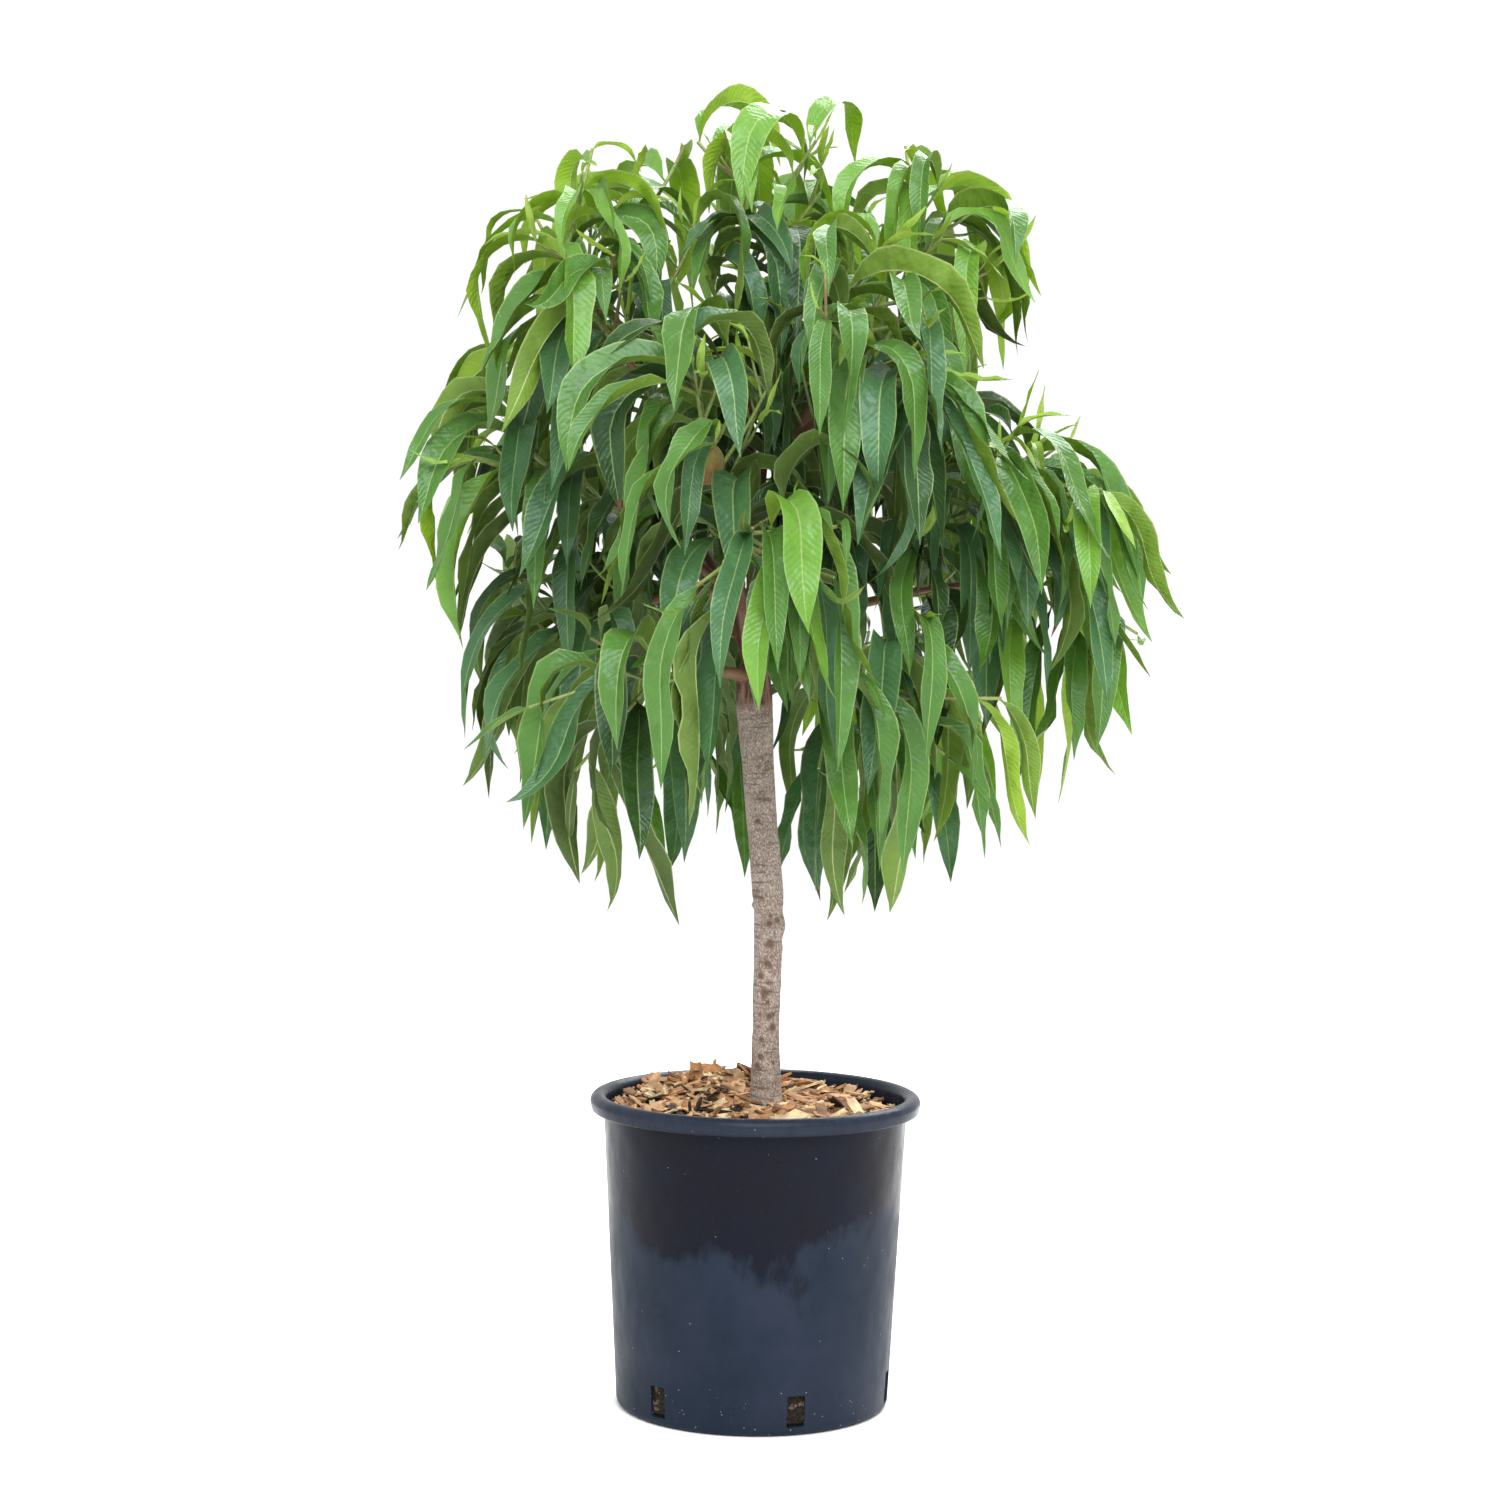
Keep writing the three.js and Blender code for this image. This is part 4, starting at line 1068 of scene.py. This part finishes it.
def try_leaf(space, leaf, place_in_spiral, sizes, stalks, kept):
    """Turns a leaf round its twig, and then shortens it, until it fits the crown and the mass's space, if
    it is held to one. A leaf that never fits is left out."""
    long = leaf["length"]
    turns = np.radians(GOLDEN * place_in_spiral + leaf["turn"] + np.array(HEADINGS))
    headings = np.array([direction(leaf["way"], leaf["splay"], turn) for turn in turns])
    for size in sizes:
        leaf["length"] = long * size
        tries = plates_of(leaf, headings)
        inside = in_crown(tries["outline"]) & ~hides_trunk(tries["spots"])
        inside &= (np.linalg.norm(tries["spots"] - peach_middle, axis=-1) > PEACH_CLEAR).all(-1)
        if space:
            inside &= in_space(space, tries["outline"], LEAF_MARGIN)
        for k in np.flatnonzero(inside):
            plate = {key: value[k] for key, value in tries.items()}
            if from_limbs(plate["spots"], every_limb) <= LIMB_CLEAR or pierces(stalks, plate["faces"]):
                continue
            if meets(plate, kept):
                continue
            leaf["stalk"] = plate["stalk"]
            kept.append(plate)
            return True
    return False


leaves = []
plates = {name: [] for name in MASSES}
for name, (_, _, _, lift) in MASSES.items():
    kept = plates[name]
    for number in reversed(range(len(twigs[name]))):
        line = twigs[name][number]
        others = [one for one in twigs[name] if one is not line]
        stalks = np.array([pair for one in others for pair in zip(one, one[1:])])
        length = np.linalg.norm(np.diff(line, axis=0), axis=1).sum()
        count = round(length * (1 - LEAF_BARE) / LEAF_PITCH)
        for i in range(count + 1):
            share = between(LEAF_BARE, 1, (i / count) ** LEAF_CROWD)
            leaf = leaf_at(line, share, lift, i == count, streams[name])
            if try_leaf(name, leaf, i, LEAF_SIZES, stalks, kept):
                leaves.append(leaf | {"mass": name, "spray": number})

# The finer growth: a rosette of leaves round a few upright young ones at the end of every twig and shoot.
for name, (_, _, _, lift) in MASSES.items():
    kept = plates[name]
    sprays = twigs[name] + spurs[name] + inner[name]
    for number, line in enumerate(sprays):
        is_inner = number >= len(twigs[name]) + len(spurs[name])
        draws = streams[name + ("_inner" if is_inner else "_spurs")]
        others = [one for one in sprays if one is not line]
        stalks = np.array([pair for one in others for pair in zip(one[1:], one[2:])])
        places_on = ROSETTE if number < len(twigs[name]) else SPUR_ROSETTE
        if lift == 0:
            places_on = places_on[-1:]
        buds = BUDS if lift > BUD_LIFT else 0
        for i, share in enumerate((*places_on, *[1] * buds)):
            leaf = leaf_at(line, share, lift, False, draws)
            leaf["length"] *= ROSETTE_LENGTH
            if i >= len(places_on):
                leaf["young"] = True
                leaf["splay"] = math.radians(between(*BUD_SPLAY, next(draws)))
                leaf["length"] *= between(*BUD_LENGTH, next(draws))
                leaf["hang"] = math.radians(between(*BUD_HANG, next(draws)))
            if try_leaf(None if is_inner else name, leaf, i + 0.5, ROSETTE_SIZES, stalks, kept):
                leaves.append(leaf | {"mass": name, "spray": number})


# ---------------------------------------------------------------- Twigs in their bark
# The same stems, twigs and shoots as finished wood: thin, round and tapering, olive green and flushed red.
# Each ends just past its last leaf, or past the last shoot that leaves it. A bare one has died back and
# dropped off.
BEYOND_LEAF = 0.02
TWIG_FLATS = 8
STEM_STEPS, TWIG_STEPS = 6, 4
for leaf in leaves:
    key = leaf["mass"], leaf["spray"]
    furthest[key] = max(furthest.get(key, 0), leaf["share"])
thin_lines = []
for name in MASSES:
    for k, line in enumerate(twigs[name] + spurs[name] + inner[name]):
        if k and (name, k) not in furthest:
            continue
        root, tip = (TWIG_ROOT, TWIG_TIP) if k < len(twigs[name]) else (SPUR_ROOT, SPUR_TIP)
        if k == 0:
            root, tip = BOUGH_TIP, STEM_TIP
            furthest[name, k] = max(furthest.get((name, k), 0), TWIG_LAST)
        smooth = eased(line, STEM_STEPS if k == 0 else TWIG_STEPS)
        shares = np.linspace(0, 1, len(smooth))
        kept_shares = shares * min(furthest.get((name, k), 0) + BEYOND_LEAF, 1)
        cut = np.column_stack([np.interp(kept_shares, shares, smooth[:, axis]) for axis in range(3)])
        thin_lines.append((cut, np.interp(kept_shares, (0, 1), (root, tip))))
twig_mesh = rods("twigs", thin_lines, TWIG_FLATS)

green_bark, tree, shader, place = finish_of("green_bark", roughness=0.5, specular=0.4)
patches = noisy(tree, place, 9, 3)
fine = noisy(tree, place, 240, 2)
flushed = mixed(tree, ranged(tree, patches, 0.52, 0.68), (0.25, 0.34, 0.09), (0.20, 0.10, 0.045))
coloured(tree, shader, mixed(tree, ranged(tree, fine, 0.3, 0.7, 0, 0.5), flushed, (0.07, 0.08, 0.02)))
bumped(tree, shader, fine, 0.3, 0.0004)

fine_twigs = placed("twigs_and_spurs", twig_mesh, green_bark)
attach(fine_twigs, "root")
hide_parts(*(f"foliage_{name}" for name in MASSES))


# ---------------------------------------------------------------- Leaves
# Long narrow peach leaves that arch over and hang, folded into a shallow gutter along a pale midrib, with
# waved edges, glossy above and duller below. The youngest are yellow-green. Each is one closed skin, with
# four points round each section, from the stalk through the long even blade to the drawn-out tip.
SECTIONS = np.array((0, 0.04, 0.09, 0.15, 0.22, 0.29, 0.37, 0.45, 0.53, 0.61, 0.69, 0.77, 0.85, 0.93, 1))
BLADE_OUTLINE = (
    # share of the leaf's length, share of its greatest half width
    (0, 0.04), (0.04, 0.06), (0.08, 0.26), (0.13, 0.54), (0.19, 0.76), (0.25, 0.89), (0.35, 0.97),
    (0.50, 1), (0.61, 0.97), (0.70, 0.87), (0.79, 0.66), (0.88, 0.36), (0.94, 0.17), (1, 0),
)
STALK_END = 0.06
STALK_THICKNESS = 0.0013
BLADE_THICKNESS = 0.0005
MIDRIB_THICKNESS = 0.0009
FOLD = (0.28, 0.92)
FOLD_OPENS = 1.35
WIDTH_SPREAD = (0.60, 0.93)
YOUNG_WIDTH = 0.72
YOUNG_CALM = 0.35
WAVE_HEIGHT = 0.017
WAVE_COUNT = (1.8, 3.6)
WAVE_SPREAD = (0.3, 1.3)
WAVE_FULL = 1.4
SWAY = math.radians(12)
TWIST = math.radians(30)
TILT = math.radians(16)
FLICK = math.radians(24)
FINE_STEPS = 96
LEAF_CREASE_TURN = math.radians(70)
LEAF_SEED = 21
LEAF_TONES = {
    # the colour above, the colour below; past the young tone, the tones are levels of painted light, lightest
    # first, down to the painted shade of the deepest
    "young": ((0.25, 0.42, 0.045), (0.32, 0.48, 0.07)),
    "fresh": ((0.145, 0.315, 0.038), (0.27, 0.43, 0.030)),
    "grown": ((0.082, 0.205, 0.030), (0.16, 0.27, 0.028)),
    # Painted sheen: this tone's added blue stands in for the sky reflected on the leaves.
    "bluish": ((0.066, 0.170, 0.060), (0.13, 0.215, 0.035)),
    "deep": ((0.032, 0.085, 0.016), (0.080, 0.13, 0.020)),
}
# Painted light by height, which with the reach outwards picks a leaf's tone: darkest through the middle of
# the crown, lighter at its lower fringe and lightest at the top.
PAINTED_LIGHT_BY_HEIGHT = ((0.55, 0.85, 0.95, 1.10, 1.24), (0.60, 0.42, 0.38, 0.56, 1.10))
TONE_STEPS = (0.30, 0.46, 0.72)
DRY_COLOUR = (0.10, 0.045, 0.015)
DRY_SHARE = 0.04
OUTER_LIGHT = 0.50
LIT_FROM, LIT_RANGE = 0.8, 0.3
SPRAY_LIGHT = 0.10
LEAF_LIGHT = 0.10
BEND_STARTS = 0.04

rng = np.random.default_rng(LEAF_SEED)
count = len(leaves)
fields = {key: np.array([leaf[key] for leaf in leaves]) for key in
          ("root", "stalk", "length", "hang", "bend", "curl", "roll")}
young = np.array([leaf["young"] for leaf in leaves])
calm = np.where(young, YOUNG_CALM, 1)
fields["roll"] = fields["roll"] * calm + rng.normal(0, TWIST, count) * calm
fine_share = np.linspace(0, 1, FINE_STEPS + 1)
points, side, up = ribs_of(
    *fields.values(), fine_share, lag=BEND_STARTS, sway=rng.normal(0, SWAY, count) * calm,
    tilt=rng.normal(0, TILT, count), flick=rng.normal(0, FLICK, count) * calm
)
at = np.rint(SECTIONS * FINE_STEPS).astype(int)
points, side, up = points[:, at], side[:, at], up[:, at]
length = fields["length"][:, None]
outline = np.interp(SECTIONS, *zip(*BLADE_OUTLINE))
width = rng.uniform(*WIDTH_SPREAD, (count, 1)) * np.where(young, YOUNG_WIDTH, 1)[:, None]
half = outline * LEAF_WIDTH / 2 * length * width
fold = rng.uniform(*FOLD, (count, 1)) * (FOLD_OPENS - SECTIONS)
thick = np.where(SECTIONS < STALK_END, STALK_THICKNESS, BLADE_THICKNESS + MIDRIB_THICKNESS * (1 - SECTIONS))
waves = rng.uniform(*WAVE_COUNT, (count, 1))
edges = []
for sign in (1, -1):
    phase = rng.uniform(0, math.tau, (count, 1))
    height = WAVE_HEIGHT * length * rng.uniform(*WAVE_SPREAD, (count, 1))
    wave = height * np.sin(phase + waves * math.tau * SECTIONS) * np.clip(outline * WAVE_FULL, 0, 1)
    lift = half * fold + wave * (SECTIONS > STALK_END)
    edges.append(points + side * (sign * half)[..., None] + up * lift[..., None])
ring = np.stack([points, edges[0], points - up * thick[..., None], edges[1]], 2)
body_points = ring[:, :-1].reshape(count, -1, 3)
leaf_points = np.concatenate([body_points, points[:, -1:]], 1)

ABOVE, BELOW = 0, 1
faces, roles = [], []
last_ring = len(SECTIONS) - 2
for i, k in itertools.product(range(last_ring + 1), range(4)):
    a, b = 4 * i + k, 4 * i + (k + 1) % 4
    if i == last_ring:
        faces.append((b, a, 4 * last_ring + 4))
    else:
        faces.append((a, a + 4, b + 4, b) if k % 2 else (b, a, a + 4, b + 4))
    roles.append((ABOVE, BELOW, BELOW, ABOVE)[k])
faces.append((0, 1, 2, 3))
roles.append(BELOW)


def tinted(colour, factor):
    """A colour made lighter or darker."""
    return tuple(min(c * factor, 1) for c in colour)


def leaf_finish(name, colour, roughness, glow, rib_colour, rib_share):
    """A leaf's skin: a midrib and slanting veins, a painted light along its edges, slightly quilted, and lit
    through from behind.
    """
    skin, tree, shader, place = finish_of(name, roughness=roughness, specular=0.55)
    patches = noisy(tree, place, 30, 2)
    mottle = noisy(tree, place, 240, 2)
    body = mixed(tree, ranged(tree, patches, 0.3, 0.7), tinted(colour, 0.86), tinted(colour, 1.14))
    body = mixed(tree, ranged(tree, mottle, 0.62, 0.78, 0, 0.18), body, tinted(colour, 1.5))
    blade_place = add(tree, "UVMap", uv_map="blade").outputs[0]
    split = add(tree, "SeparateXYZ", {0: blade_place}).outputs
    across = sums(tree, "ABSOLUTE", split["X"], 0)
    along_blade = sums(tree, "MULTIPLY", split["Y"], 30)
    phase = sums(tree, "SUBTRACT", along_blade, sums(tree, "MULTIPLY", across, 2.4))
    phase = plus(tree, phase, patches, 1.6)
    vein = sums(tree, "ABSOLUTE", sums(tree, "SUBTRACT", sums(tree, "FRACT", phase, 0), 0.5), 0)
    body = mixed(tree, ranged(tree, vein, 0.40, 0.5, 0, 0.14), body, tinted(colour, 1.5))
    # Painted light: a pale band along each edge, for the glow of margins lit from behind.
    margin = ranged(tree, across, 0.90, 0.98, 0, 0.6)
    body = mixed(tree, margin, body, rib_colour)
    rib = ranged(tree, across, 0.02, 0.06, rib_share, 0)
    coloured(tree, shader, mixed(tree, rib, body, rib_colour))
    quilting = noisy(tree, place, 62, 1)
    relief = sums(tree, "ADD", sums(tree, "MULTIPLY", vein, -0.15), sums(tree, "MULTIPLY", mottle, 0.2))
    bumped(tree, shader, sums(tree, "ADD", relief, quilting), 0.6, 0.006)
    shader.inputs["Specular Tint"].default_value = (0.80, 0.93, 1.0, 1)
    warm = (colour[0] * 1.3, colour[1], colour[2] * 0.3)
    through = add(tree, "BsdfTranslucent", {"Color": (*tinted(warm, 1.7), 1)})
    both = add(tree, "MixShader", {0: glow, 1: shader.outputs[0], 2: through.outputs[0]})
    tree.links.new(both.outputs[0], tree.nodes["Material Output"].inputs["Surface"])
    return skin


leaf_finishes = []
for name, (above, below) in LEAF_TONES.items():
    leaf_finishes.append(leaf_finish(f"leaf_{name}_above", above, 0.36, 0.30, (0.36, 0.50, 0.17), 0.7))
    leaf_finishes.append(leaf_finish(f"leaf_{name}_below", below, 0.60, 0.32, (0.52, 0.60, 0.24), 0.9))
leaf_finishes.append(leaf_finish("leaf_dry_tip", DRY_COLOUR, 0.7, 0.0, DRY_COLOUR, 0))

# Each leaf but the pale young ones takes its tone from painted light: lighter high up and towards the outside
# of the crown, darker in the middle storeys and inside, where shade falls, with some random spread for each
# spray and leaf.
tone_of = np.empty(count, int)
spray_light = {}
for i, leaf in enumerate(leaves):
    key = (leaf["mass"], leaf["spray"])
    if key not in spray_light:
        spray_light[key] = rng.normal(0, SPRAY_LIGHT)
    x, y, z = points[i, len(SECTIONS) // 3]
    outward = math.hypot(x, y) / LIT_RANGE - LIT_FROM
    painted_brightness = np.interp(z, *PAINTED_LIGHT_BY_HEIGHT) + OUTER_LIGHT * outward + spray_light[key]
    painted_brightness += rng.normal(0, LEAF_LIGHT)
    is_pale = leaf["young"] and MASSES[leaf["mass"]][3] > BUD_LIFT
    tone_of[i] = 0 if is_pale else (4, 3, 2, 1)[int(np.digitize(painted_brightness, TONE_STEPS))]

STOREYS = {
    "leaves_upper": ("top", "upper_right", "upper_left", "upper_back", "shoulder"),
    "leaves_middle": ("front", "front_low", "front_right", "right", "left", "back_right", "back_left"),
    "leaves_lower": ("far_right", "far_left", "lower_left", "lower_right", "low_back_left", "low_back_right"),
}
roles = np.array(roles)
# A place on the blade is -1 to 1 from edge to edge, and 0 to 1 from the stalk to the tip.
sides = np.tile((0, 1, 0, -1), len(SECTIONS) - 1)
blade_places = np.vstack([np.column_stack([sides, np.repeat(SECTIONS[:-1], 4)]), (0, 1)])
for storey, masses in STOREYS.items():
    chosen = [i for i, leaf in enumerate(leaves) if leaf["mass"] in masses]
    parts = []
    for i in chosen:
        shade = roles + 2 * tone_of[i]
        if rng.random() < DRY_SHARE:
            shade[-5:-1] = 2 * len(LEAF_TONES)
        parts.append((leaf_points[i], faces, blade_places, shade))
    mesh = joined(storey, "blade", parts)
    mesh.shade_smooth()
    mesh.set_sharp_from_angle(angle=LEAF_CREASE_TURN)
    folds = mesh.attributes["sharp_edge"].data
    is_sharp = values_of(folds, "value", 1, bool)[:, 0]
    ends = values_of(mesh.edges, "vertices", 2, np.int32)
    folds.foreach_set("value", is_sharp | (ends % leaf_points.shape[1] % 4 == 0).all(1))
    piece = placed(storey, mesh, *leaf_finishes)
    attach(piece, "root")
    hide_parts(*(f"foliage_{name}" for name in masses))


# ---------------------------------------------------------------- Floor, light and camera
# A plain white floor under a plain white sky, with one large soft light above the front and another above the
# back right.
bm = bmesh.new()
bmesh.ops.create_circle(bm, cap_ends=True, segments=96, radius=12)
floor_mesh = mesh_of(bm, "floor")
floor_paint, tree, shader, place = finish_of("floor_paint", roughness=0.8, specular=0.2)
shader.inputs["Base Color"].default_value = (0.97, 0.97, 0.97, 1)
floor = placed("floor", floor_mesh, floor_paint)

world = bpy.data.worlds.new("sky")
world.use_nodes = True
sky = world.node_tree.nodes["Background"].inputs
sky["Color"].default_value = (1, 1, 1, 1)
sky["Strength"].default_value = 1.05
bpy.context.scene.world = world

LIGHTS = {
    # where it stands, its size, its power, and the point it faces
    "soft_key": ((0.2, -2.6, 2.9), 2.4, 130, (0, 0, 0.85)),
    "soft_rim": ((0.9, 1.9, 3.0), 2.6, 180, (0, 0, 1.0)),
}
for name, (stand, size, power, target) in LIGHTS.items():
    lamp = bpy.data.lights.new(name, "AREA")
    lamp.size = size
    lamp.energy = power
    made = bpy.data.objects.new(name, lamp)
    made.location = stand
    made.rotation_euler = (Vector(stand) - Vector(target)).to_track_quat("Z", "Y").to_euler()
    bpy.context.scene.collection.objects.link(made)

CAMERA_LENS, SENSOR_WIDTH = 72.528, 36
CAMERA_PLACE = (-0.0097, -3.0, 0.798)
CAMERA_PITCH = math.radians(2.74)
CAMERA_ROLL = math.radians(0.71)
lens = bpy.data.cameras.new("camera")
lens.sensor_width = SENSOR_WIDTH
lens.lens = CAMERA_LENS
camera = bpy.data.objects.new("camera", lens)
camera.matrix_world = (
    Matrix.Translation(CAMERA_PLACE)
    @ Matrix.Rotation(math.radians(90) - CAMERA_PITCH, 4, "X")
    @ Matrix.Rotation(CAMERA_ROLL, 4, "Z")
)
bpy.context.scene.collection.objects.link(camera)
bpy.context.scene.camera = camera
bpy.context.scene.view_settings.view_transform = "Standard"
